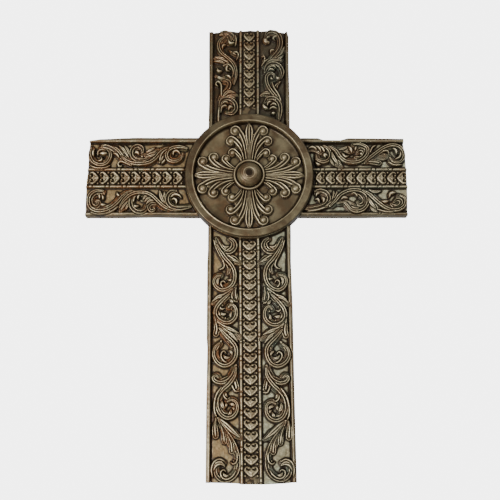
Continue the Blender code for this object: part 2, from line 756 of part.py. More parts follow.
def hanger_cutter():
    """A slot with round ends, sunk into the back of the upper arm."""
    mesh = bmesh.new()
    radius = HANGER_WIDTH / 2
    middle = TOP_REACH - HANGER_BELOW_TOP
    straight = max(HANGER_LENGTH / 2 - radius, 0.1 * MM)
    loop = []
    for end in (1, -1):
        for i in range(HANGER_END_STEPS + 1):
            angle = math.pi * i / HANGER_END_STEPS + (0.0 if end > 0 else math.pi)
            loop.append((radius * math.cos(angle), middle + end * straight + radius * math.sin(angle)))
    near = [mesh.verts.new((x, HANGER_DEPTH, z)) for x, z in loop]
    far = [mesh.verts.new((x, -HANGER_DEPTH, z)) for x, z in loop]
    mesh.faces.new(near)
    mesh.faces.new(far[::-1])
    for i in range(len(loop)):
        j = (i + 1) % len(loop)
        mesh.faces.new((near[i], far[i], far[j], near[j]))
    bmesh.ops.recalc_face_normals(mesh, faces=mesh.faces)
    data = bpy.data.meshes.new("hanger_recess_shape")
    mesh.to_mesh(data)
    mesh.free()
    cutter = bpy.data.objects.new("hanger_recess_shape", data)
    bpy.context.scene.collection.objects.link(cutter)
    cutter.display_type = "WIRE"
    cutter.hide_render = True
    return cutter


def bronze_finish():
    material = bpy.data.materials.new("antique_bronze")
    material.use_nodes = True
    shader = material.node_tree.nodes["Principled BSDF"]
    shader.inputs["Base Color"].default_value = BRONZE_COLOUR
    shader.inputs["Roughness"].default_value = BRONZE_ROUGHNESS
    shader.inputs["Metallic"].default_value = BRONZE_METALLIC
    material.diffuse_color = BRONZE_COLOUR
    return material


def make_cross():
    arms = make_arms()
    outline = cross_outline(arms)
    panels = []
    for arm in arms:
        panels += heart_forms(arm)
        for side in (-1, 1):
            panels += scroll_forms(arm, side)
            panels += leaf_forms(arm, side)
    palmettes = []
    for quarter in range(4):
        palmettes += palmette_forms(quarter * math.pi / 2)
    forms = {"panels": panels, "palmettes": palmettes}
    points, triangles = relief_triangles(arms, outline, forms)
    heights = relief_heights(arms, points, forms)
    data = relief_solid("cross", points, triangles, heights)
    cross = bpy.data.objects.new("cross", data)
    bpy.context.scene.collection.objects.link(cross)
    data.materials.append(bronze_finish())
    cut = cross.modifiers.new("hanger recess", "BOOLEAN")
    cut.operation = "DIFFERENCE"
    cut.solver = "EXACT"
    cut.object = hanger_cutter()
    print("front triangles:", len(triangles))
    return cross


for old in list(bpy.data.objects):
    bpy.data.objects.remove(old, do_unlink=True)
make_cross()
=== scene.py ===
# %% Wall cross in antique bronze resin
# The cross is one casting. Its solid already has the right outline, thickness and
# main carving. This lesson carves the fine relief on top of it as a height map,
# turns the map into closed meshes, and gives them a glazed and rubbed bronze look.
import math

import bmesh
import bpy
import numpy as np
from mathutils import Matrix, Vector
from mathutils.geometry import delaunay_2d_cdt


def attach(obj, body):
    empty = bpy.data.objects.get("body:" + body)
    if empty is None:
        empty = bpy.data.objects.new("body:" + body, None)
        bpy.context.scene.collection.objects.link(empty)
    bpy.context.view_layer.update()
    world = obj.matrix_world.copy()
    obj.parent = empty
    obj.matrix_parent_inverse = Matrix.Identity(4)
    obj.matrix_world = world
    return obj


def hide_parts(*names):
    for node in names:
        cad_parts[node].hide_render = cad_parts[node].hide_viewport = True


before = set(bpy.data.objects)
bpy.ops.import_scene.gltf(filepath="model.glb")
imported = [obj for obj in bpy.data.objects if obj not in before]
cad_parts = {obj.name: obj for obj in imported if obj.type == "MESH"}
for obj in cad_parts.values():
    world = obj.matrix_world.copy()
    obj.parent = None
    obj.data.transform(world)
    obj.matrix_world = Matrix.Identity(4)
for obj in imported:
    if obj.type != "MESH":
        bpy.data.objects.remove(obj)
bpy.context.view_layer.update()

# %% [markdown]
# The camera stands a little below the cross and looks slightly up at it. Its place
# and lens were fitted to the cross's outline in the photograph. It also works the
# other way round: on_face turns a pixel of the photograph into a place on the carved
# face, so a line that is traced over the photograph lands where it belongs.

# %% Camera
CAMERA_PLACE = (0.0008, -0.8412, -0.2518)
CAMERA_TARGET = (0.0008, 0.0, -0.073)
MM = 0.001
# The photograph's frame and the camera's focal length, both in its pixels
FRAME_WIDTH = 500
FOCAL_PIXELS = 863.0
SENSOR_WIDTH = 36.0
# How far above the back the traced lines lie, in millimetres
TRACED_LEVEL = 12.5


def aimed(obj, place, target):
    """Puts a camera or lamp at a place and turns it to a target."""
    obj.location = place
    heading = np.array(target) - np.array(place)
    obj.rotation_mode = "QUATERNION"
    obj.rotation_quaternion = Vector(heading).to_track_quat("-Z", "Y")


def on_face(x, y):
    """The place on the carved face that the photograph shows at a pixel, in millimetres."""
    place = np.array(CAMERA_PLACE)
    forward = np.array(CAMERA_TARGET) - place
    forward = forward / np.linalg.norm(forward)
    right = np.cross(forward, (0.0, 0.0, 1.0))
    right = right / np.linalg.norm(right)
    up = np.cross(right, forward)
    ray = forward * FOCAL_PIXELS + right * (x - FRAME_WIDTH / 2) + up * (FRAME_WIDTH / 2 - y)
    hit = place + ray * (-TRACED_LEVEL * MM - place[1]) / ray[1]
    return hit[0] / MM, hit[2] / MM


def make_camera():
    data = bpy.data.cameras.new("camera")
    data.sensor_width = SENSOR_WIDTH
    data.lens = FOCAL_PIXELS / FRAME_WIDTH * SENSOR_WIDTH
    camera = bpy.data.objects.new("camera", data)
    bpy.context.scene.collection.objects.link(camera)
    aimed(camera, CAMERA_PLACE, CAMERA_TARGET)
    bpy.context.scene.camera = camera
    return camera


make_camera()
print("camera lens:", round(bpy.context.scene.camera.data.lens, 2), "mm")

# %% [markdown]
# Sizes are in millimetres. x runs to the right and z up, both from the middle of the
# ring, and heights are above the flat back. The outline with its worn edges is the
# solid's. The carving's widths and levels were set against the photograph and
# differ from the solid's by less than a millimetre. Each arm is described along and
# across itself, so that one set of functions serves all four.

# %% Sizes and arms
RING_RADIUS = 63.6
PANEL_FLOOR = 10.0
STRIP_FLOOR = 10.4
GROOVE_FLOOR = 9.2
RIM_HEIGHT = 13.0
ROD_HEIGHT = 13.2
SCROLL_TOP = 14.6
HEART_BODY = 13.2
STRIP_WIDTH = 14.6
ROD_WIDTH = 3.2
GROOVE_WIDTH = 2.3
RIM_WIDTH = 3.7
# The fine ridge on a rim: where it lies across the rim, and how broad it is
RIDGE_SHARE = 0.78
RIDGE_SPREAD = 0.15
SIDE_ARM_PATTERN_DROP = 1.9
EDGE_ROUNDING = 1.2
MAP_STEP = 0.3
# An arm's pattern starts under the ring, and its map reaches past its edges
ARM_START = 44.0
ARM_SPAN = 46.0
EDGE_SPARE = 3.0

ARMS = {
    "right": dict(angle=0, reach=158.3, half=40.6, end_half=40.6, shift=-SIDE_ARM_PATTERN_DROP, lean=0.0,
                  end_wear=((-0.95, 0.9), (-0.5, 0.2), (0.0, 0.3), (0.55, 1.0), (0.85, 2.4))),
    "top": dict(angle=90, reach=158.6, half=41.2, end_half=41.6, shift=0.0, lean=0.0,
                end_wear=((-0.9, 2.2), (-0.78, 1.8), (-0.5, 0.0), (-0.24, 0.9), (-0.02, 0.0), (0.28, 1.5),
                          (0.5, 0.2), (0.72, 1.7), (0.98, 2.6))),
    "left": dict(angle=180, reach=163.3, half=40.6, end_half=40.6, shift=SIDE_ARM_PATTERN_DROP, lean=0.0,
                 end_wear=((-0.92, 2.2), (-0.6, 1.5), (-0.1, 1.2), (0.1, 0.3), (0.6, 0.1), (0.95, 0.4))),
    "foot": dict(angle=-90, reach=298.4, half=41.2, end_half=42.7, shift=0.0, lean=2.2,
                 end_wear=((-0.98, 1.6), (-0.34, 1.0), (-0.2, 0.1), (0.3, 0.0), (0.74, 0.9), (0.95, 1.9))),
}
# Along each side of an arm, as seen from the ring: share of the way, and inset
SIDE_WEAR = {
    ("left", -1): ((0.0, 0.0), (0.55, 0.0), (0.7, 0.7), (0.88, 1.6), (0.97, 3.2)),
    ("left", 1): ((0.0, 0.0), (0.3, 0.6), (0.7, 0.0)),
    ("right", 1): ((0.06, 0.2), (0.12, 2.4), (0.3, 2.6), (0.38, 0.3), (0.93, 1.0)),
    ("right", -1): ((0.5, 0.0), (0.7, 0.4)),
    ("top", 1): ((0.0, 0.0), (0.2, 0.3), (0.6, 0.0)),
    ("top", -1): ((0.2, 0.0), (0.55, 0.7), (0.92, 0.8), (0.97, 2.2)),
    ("foot", -1): ((0.05, 0.6), (0.11, 0.0), (0.42, 0.0), (0.46, 0.7), (0.7, 0.0)),
    ("foot", 1): ((0.0, 0.0), (0.1, 0.6), (0.3, 0.0), (0.6, 0.4)),
}


class Arm:
    """One arm: where it points, how wide it is and how its pattern lies on it."""

    def __init__(self, name, angle, reach, half, end_half, shift, lean, end_wear):
        self.name = name
        turn = math.radians(angle)
        self.along = np.round((math.cos(turn), math.sin(turn)), 9)
        self.across = np.array((-self.along[1], self.along[0]))
        self.reach, self.half, self.end_half = reach, half, end_half
        self.shift, self.lean, self.end_wear = shift, lean, end_wear

    def share(self, u):
        """How far along the arm a place is, from 0 at the ring to 1 at its end."""
        return np.clip((u - RING_RADIUS) / (self.reach - RING_RADIUS), 0.0, 1.0)

    def local(self, x, z):
        """A place's distance along the arm and across it."""
        u = x * self.along[0] + z * self.along[1]
        v = x * self.across[0] + z * self.across[1] - self.lean * self.share(u)
        return u, v

    def place(self, u, v):
        """The x and z of a place given along and across the arm."""
        centre = v + self.lean * self.share(u)
        return u * self.along[0] + centre * self.across[0], u * self.along[1] + centre * self.across[1]

    def half_width(self, u):
        return self.half + (self.end_half - self.half) * self.share(u)

    def worn_half(self, u, side):
        """Half the arm's width where its edge is worn, on one side."""
        rows = SIDE_WEAR[(self.name, side)]
        shares, insets = zip(*rows)
        return self.half_width(u) - np.interp(self.share(u), shares, insets)

    def worn_reach(self, across):
        """How far the worn end reaches, from one edge (-1) to the other (1)."""
        places, insets = zip(*self.end_wear)
        return self.reach - np.interp(across, places, insets)


arms = {name: Arm(name, **facts) for name, facts in ARMS.items()}
print("arms:", ", ".join(arms))

# %% [markdown]
# The relief is worked as a modeller works clay: a level ground first, then strips
# of clay laid on it one after another. Each strip follows a line, has a width and
# a section, and sinks whatever lies right beside it a little, so that it stands
# clear. The whole face is one map of heights, which every strip changes in turn.
# Below, q runs across a strip from its middle (0) to its edge (1).

# %% Lines and sections
def smoothstep(value):
    value = np.clip(value, 0.0, 1.0)
    return value * value * (3.0 - 2.0 * value)


def smooth_line(points, step=0.9):
    """A rounded line through the given points."""
    points = np.array(points, dtype=float)
    if len(points) == 2:
        count = max(2, int(np.linalg.norm(points[1] - points[0]) / step) + 1)
        share = np.linspace(0.0, 1.0, count)[:, None]
        return points[0] * (1 - share) + points[1] * share
    padded = np.vstack([2 * points[0] - points[1], points, 2 * points[-1] - points[-2]])
    line = []
    for a, b, c, d in zip(padded, padded[1:], padded[2:], padded[3:]):
        count = max(2, int(np.linalg.norm(c - b) / step) + 1)
        t = np.linspace(0.0, 1.0, count, endpoint=False)[:, None]
        line.append(0.5 * (2 * b + (c - a) * t + (2 * a - 5 * b + 4 * c - d) * t ** 2
                           + (3 * b - a - 3 * c + d) * t ** 3))
    return np.vstack(line + [points[-1:]])


def fluted(q):
    """A ribbon with two raised edges and a hollow between them."""
    hollow = 0.42 + 0.58 * np.clip(q / 0.66, 0, 1) ** 3
    edge = np.sqrt(np.clip(1.0 - (np.clip(q - 0.66, 0, 1) / 0.36) ** 2, 0, 1))
    return np.where(q < 0.66, hollow, edge)


def grooved(q):
    """A plump ribbon with a groove along its middle and a fine ridge on each side."""
    body = 0.8 * np.sqrt(np.clip(1.0 - q * q, 0, 1))
    return body + 0.34 * np.exp(-((q - 0.46) / 0.14) ** 2) - 0.34 * np.exp(-(q / 0.18) ** 2)


def combed(q):
    """A broad leaf with fine ridges side by side."""
    return (0.72 + 0.28 * np.cos(2 * np.pi * 2.5 * q)) * np.sqrt(np.clip((1.0 - q) / 0.2, 0, 1))


def rounded(q):
    return np.clip(1.0 - q * q, 0, 1) ** 0.6


def veined(q):
    """A leaf with a vein pressed along its middle."""
    return np.clip(1.0 - q * q, 0, 1) ** 0.55 * (1.0 - 0.45 * np.exp(-(q / 0.2) ** 2))


def budded(q):
    """A seed in a pod: a round core, a dark line and a raised rim."""
    core = np.clip(1.0 - (q / 0.45) ** 2, 0, 1) ** 0.6
    rim = 0.85 * np.clip(1.0 - ((q - 0.8) / 0.2) ** 2, 0, 1) ** 0.6
    return np.maximum(np.maximum(core, rim), 0.12)


def keeled(q):
    """A pointed rib with a sharp keel and a raised rim."""
    return np.maximum(np.clip(1.0 - q / 0.34, 0, 1) ** 0.8, np.where(q > 0.45, fluted(q) * 0.9, 0.4))


SECTIONS = {"scroll": grooved, "flute": fluted, "rib": rounded, "leaf": veined, "bud": budded,
            "lobe": rounded, "frond": grooved, "spear": keeled, "fan": combed, "bed": combed}
TAPERS = {
    "scroll": ((0.0, 0.5), (0.15, 1.0), (0.75, 0.95), (1.0, 0.45)),
    "fan": ((0.0, 0.25), (0.35, 0.7), (0.7, 1.0), (1.0, 0.45)),
    "bed": ((0.0, 0.7), (0.2, 1.0), (0.8, 1.0), (1.0, 0.8)),
    "flute": ((0.0, 0.55), (0.12, 1.0), (0.8, 0.95), (1.0, 0.5)),
    "rib": ((0.0, 0.6), (0.15, 1.0), (0.8, 0.9), (1.0, 0.5)),
    "leaf": ((0.0, 0.35), (0.35, 1.0), (0.65, 0.9), (1.0, 0.2)),
    "bud": ((0.0, 0.3), (0.6, 0.9), (0.85, 1.0), (1.0, 0.95)),
    "lobe": ((0.0, 0.2), (0.5, 1.0), (0.75, 0.9), (1.0, 0.35)),
    "frond": ((0.0, 0.5), (0.3, 0.8), (0.55, 1.0), (0.72, 0.75), (0.85, 0.55), (1.0, 0.3)),
    "spear": ((0.0, 0.3), (0.4, 0.4), (0.6, 0.85), (0.78, 1.0), (0.9, 0.75), (1.0, 0.3)),
}
print("sections:", ", ".join(SECTIONS))

# %% [markdown]
# The map holds a height for every place of the face, on an even grid. Working on a
# map is quicker than working on a mesh, and strips can cross without any joins: the
# last one laid lies on top, as clay does.

# %% The map of heights
class ReliefMap:
    """Heights above the back over a rectangle of the face."""

    def __init__(self, left, right, low, high, step):
        self.left, self.low, self.step = left, low, step
        self.x = np.arange(left, right + step, step)
        self.z = np.arange(low, high + step, step)
        self.height = np.zeros((len(self.z), len(self.x)))

    def window(self, points, margin):
        """The part of the map around some points, with its x and z."""
        low = np.min(points, axis=0) - margin
        high = np.max(points, axis=0) + margin
        first_column = max(0, int((low[0] - self.left) / self.step))
        first_row = max(0, int((low[1] - self.low) / self.step))
        columns = slice(first_column, int((high[0] - self.left) / self.step) + 2)
        rows = slice(first_row, int((high[1] - self.low) / self.step) + 2)
        x, z = np.meshgrid(self.x[columns], self.z[rows])
        return (rows, columns), x, z

    def sample(self, values, x, z):
        """Values of a map of the same shape at any places, read between its points."""
        column = np.clip((x - self.left) / self.step, 0, len(self.x) - 1.001)
        row = np.clip((z - self.low) / self.step, 0, len(self.z) - 1.001)
        i, j = column.astype(int), row.astype(int)
        a, b = column - i, row - j
        return ((values[j, i] * (1 - a) + values[j, i + 1] * a) * (1 - b)
                + (values[j + 1, i] * (1 - a) + values[j + 1, i + 1] * a) * b)


FAR_AWAY = 1e9
NO_LENGTH = 1e-9


def nearest(x, z, line):
    """Distance from each place to a line, and the share of its length there."""
    best = np.full(x.shape, FAR_AWAY)
    share = np.zeros(x.shape)
    runs = np.diff(line, axis=0)
    lengths = np.hypot(runs[:, 0], runs[:, 1])
    total = max(lengths.sum(), NO_LENGTH)
    done = 0.0
    for start, run, length in zip(line, runs, lengths):
        if length < NO_LENGTH:
            continue
        along = np.clip(((x - start[0]) * run[0] + (z - start[1]) * run[1]) / length ** 2, 0.0, 1.0)
        gap = np.hypot(x - start[0] - along * run[0], z - start[1] - along * run[1])
        closer = gap < best
        best = np.where(closer, gap, best)
        share = np.where(closer, (done + along * length) / total, share)
        done += length
    return best, share


face = ReliefMap(-168.0, 164.0, -303.0, 163.0, MAP_STEP)
print("map of the face:", face.height.shape)

# %% [markdown]
# Four ways to work the clay: lay a strip, swell or press a narrow line, and set a
# round bead. A strip is highest at the middle of its run and lower at both ends.

# %% Laying clay
MOAT_WIDTH = 0.55
# A strip's edge stands this far over the floor, and the moat keeps this share
STRIP_FOOT = 0.25
MOAT_KEEPS = 0.2
# The height that a strip has at its ends, as a share of its full rise
END_RISE = 0.82


def lay(relief, kind, half, points, top=SCROLL_TOP, floor=PANEL_FLOOR, moat=MOAT_WIDTH):
    """Lays one strip of clay along a line."""
    line = smooth_line(points)
    cells, x, z = relief.window(line, half + moat)
    gap, share = nearest(x, z, line)
    stops, widths = zip(*TAPERS[kind])
    width = half * np.interp(share, stops, widths)
    q = gap / width
    rise = (top - floor) * (END_RISE + (1 - END_RISE) * np.sin(np.pi * np.clip(share, 0.0, 1.0)))
    strip = floor + STRIP_FOOT + (rise - STRIP_FOOT) * SECTIONS[kind](np.clip(q, 0, 1))
    beside = smoothstep((gap - width) / moat)
    old = relief.height[cells]
    sunk = np.minimum(old, floor + (old - floor) * (MOAT_KEEPS + (1 - MOAT_KEEPS) * beside))
    relief.height[cells] = np.where(q < 1.0, strip, sunk)


def swell(relief, half, points, rise):
    """Raises the surface a little along a line; a negative rise presses it in."""
    line = smooth_line(points, 0.5)
    cells, x, z = relief.window(line, half)
    gap, _ = nearest(x, z, line)
    relief.height[cells] += rise * np.clip(1.0 - (gap / half) ** 2, 0.0, 1.0)


def bead(relief, x, z, radius, height):
    """A small round knob of the given height above the back."""
    cells, xs, zs = relief.window([(x, z)], radius)
    gap = np.clip(np.hypot(xs - x, zs - z) / radius, 0.0, 1.0)
    old = relief.height[cells]
    knob = height - (1.0 - np.sqrt(1.0 - gap ** 2)) * radius
    relief.height[cells] = np.where(gap < 1.0, np.maximum(old, knob), old)


print("a strip's ends rise to", END_RISE, "of its height")

# %% [markdown]
# The ground of every arm comes first: a rounded rim along each side, a dark groove
# inside it, a sunk panel for the scrolls, and a strip for the hearts between two
# rods. Such borders are what a pattern maker cuts with a plane and a round file.

# %% Ground of the arms
ROD_PITCH = 17.0
ROD_SHIFT = 3.0
KNOT_LENGTH = 2.1
KNOT_RISE = 0.3
NECK_DEPTH = 1.5
NECK_SPREAD = 0.45
# The rim's outer edge lies this far under its full height, and slopes up by this
RIM_DROP = 0.7
RIM_SLOPE = 0.3
RIDGE_RISE = 0.6
GROOVE_FALL_RUN = 0.9
GROOVE_RISE_RUN = 0.8


def arm_ground(arm):
    """Heights of the rims, grooves, panels, rods and strip of one arm."""
    x, z = np.meshgrid(face.x, face.z)
    u, v = arm.local(x, z)
    edge = arm.half_width(u) - np.abs(v)
    here = (u > ARM_START) & (edge > -EDGE_SPARE) & (np.abs(v) < ARM_SPAN)
    side = np.sign(v)
    across = np.abs(v - arm.shift)
    rim = RIM_WIDTH - side * arm.shift * 0.5
    # Rim: a sloping band with a fine ridge along its inner side, then the groove
    share = np.clip(edge / rim, 0.0, 1.0)
    ridge = np.exp(-((share - RIDGE_SHARE) / RIDGE_SPREAD) ** 2)
    rim_level = RIM_HEIGHT - RIM_DROP + RIM_SLOPE * share + RIDGE_RISE * ridge
    fall = smoothstep((edge - rim) / GROOVE_FALL_RUN)
    level = rim_level + (GROOVE_FLOOR - rim_level) * fall
    rise = smoothstep((edge - rim - GROOVE_WIDTH + GROOVE_RISE_RUN) / GROOVE_RISE_RUN)
    level = level + (PANEL_FLOOR - level) * rise
    # Strip with its rods
    rod_middle = STRIP_WIDTH / 2 + ROD_WIDTH / 2
    rod = np.clip(1.0 - ((across - rod_middle) / (ROD_WIDTH / 2)) ** 2, 0.0, 1.0) ** 0.5
    phase = (u + ROD_SHIFT * side) % ROD_PITCH - ROD_PITCH / 2
    knot = np.clip(1.0 - (phase / KNOT_LENGTH) ** 2, 0.0, 1.0) ** 0.5
    neck = np.exp(-((np.abs(phase) - KNOT_LENGTH) / NECK_SPREAD) ** 2)
    bar = PANEL_FLOOR + (ROD_HEIGHT - PANEL_FLOOR + KNOT_RISE * knot - NECK_DEPTH * neck) * rod
    level = np.where(across < STRIP_WIDTH / 2, STRIP_FLOOR, level)
    level = np.where((rod > 0.0) & (edge > rim + GROOVE_WIDTH), np.maximum(bar, PANEL_FLOOR - 0.2), level)
    face.height[...] = np.where(here, level, face.height)


for arm in arms.values():
    arm_ground(arm)
print("ground heights:", round(face.height.min(), 2), "to", round(face.height.max(), 2))

# %% [markdown]
# Small hearts run along the strips, each nesting behind the point of the next. A
# heart is a plump body with a raised lower edge, two curled lobes, and a small
# hollow inside each curl. The mould maker repeats one stamp along each strip. On the
# lower arm the pitch grows slightly towards the foot, as measured in the photograph.

# %% Hearts
# Points are given along the strip and across it, from the heart's middle
HEART_OUTLINE = ((5.3, 0.0), (4.9, 1.3), (3.0, 3.7), (0.9, 5.9), (-1.1, 6.9), (-3.1, 6.5), (-4.5, 5.0),
                 (-4.8, 3.2), (-4.5, 1.3), (-3.9, 0.0))
HEART_EDGE = ((-0.6, 6.3), (2.2, 3.8), (4.3, 1.4), (4.9, 0.2))
HEART_LOBE = ((-0.6, 6.2), (-2.7, 5.9), (-4.0, 4.6), (-4.1, 3.0), (-3.3, 1.9))
HEART_CURL = ((-3.3, 1.9), (-2.6, 2.2), (-2.7, 3.1))
HEART_HOLLOW = ((-3.0, 4.2), (-1.9, 3.9), (-1.4, 2.6), (-1.9, 1.4))
HEART_NOTCH = ((-4.4, 0.0), (-2.4, 0.0))
HEART_FOLD = ((-0.4, 2.0), (0.9, 0.6), (3.6, 0.0))
HEART_LINES = (
    # line, half its width, and how far it rises; a negative rise is pressed in
    (HEART_HOLLOW, 0.85, -2.3),
    (HEART_EDGE, 0.65, 0.8),
    (HEART_LOBE, 0.75, 0.7),
    (HEART_CURL, 0.75, 0.9),
    (HEART_FOLD, 0.6, 0.25),
)
NOTCH_HALF = 0.6
NOTCH_RISE = -1.4
HEART_SIDE_RUN = 1.3
HEART_FOOT = 0.3
HEART_DISH = 0.4
HEART_MOAT = 0.7
# The small bead beside the point of every heart
GEM_PLACE = (4.1, 5.7)
GEM_RADIUS = 1.15
GEM_TOP = 13.0
HEART_ROWS = (
    # arm, first middle, pitch, growth of the pitch, count, way the point looks, width
    ("foot", 70.9, 9.72, 0.026, 22, 1, 1.0),
    ("top", 78.5, 10.2, 0.0, 8, -1, 0.86),
    ("left", 71.7, 10.46, 0.0, 9, -1, 0.97),
    ("right", 71.3, 10.2, 0.0, 9, -1, 0.97),
)


def inside(x, z, loop):
    """Which places lie inside a closed loop."""
    result = np.zeros(x.shape, dtype=bool)
    for (x0, z0), (x1, z1) in zip(loop, np.roll(loop, -1, axis=0)):
        if z0 != z1:
            result ^= ((z0 > z) != (z1 > z)) & (x < (x1 - x0) * (z - z0) / (z1 - z0) + x0)
    return result


def heart(arm, u, sense, width):
    """Stamps one heart on an arm's strip; sense says which way its point looks."""
    def placed(points, side=1):
        return np.column_stack(arm.place(u + sense * np.array([p[0] for p in points]),
                                         arm.shift + side * width * np.array([p[1] for p in points])))

    half = list(HEART_OUTLINE)
    loop = smooth_line(placed(half + [(a, -b) for a, b in half[-2:0:-1]] + half[:1]), 0.7)[:-1]
    cells, x, z = face.window(loop, 0.8)
    gap, _ = nearest(x, z, np.vstack([loop, loop[:1]]))
    within = inside(x, z, loop)
    plump = np.clip(gap / HEART_SIDE_RUN, 0, 1) ** 0.5
    body = STRIP_FLOOR + HEART_FOOT + (HEART_BODY - STRIP_FLOOR - HEART_FOOT) * plump
    body = body - HEART_DISH * smoothstep((gap - 1.0) / 1.5)
    old = face.height[cells]
    sunk = np.minimum(old, STRIP_FLOOR - 0.5 * (1 - gap / HEART_MOAT))
    moat = np.where(gap < HEART_MOAT, sunk, old)
    face.height[cells] = np.where(within, body, moat)
    swell(face, NOTCH_HALF, placed(HEART_NOTCH), NOTCH_RISE)
    for side in (-1, 1):
        for line, line_half, rise in HEART_LINES:
            swell(face, line_half, placed(line, side), rise)
        gem = placed([GEM_PLACE], side)[0]
        bead(face, gem[0], gem[1], GEM_RADIUS, GEM_TOP)


for name, first, pitch, growth, count, sense, width in HEART_ROWS:
    for i in range(count):
        heart(arms[name], first + pitch * i + growth * i * i, sense, width)
print("hearts:", sum(row[4] for row in HEART_ROWS))
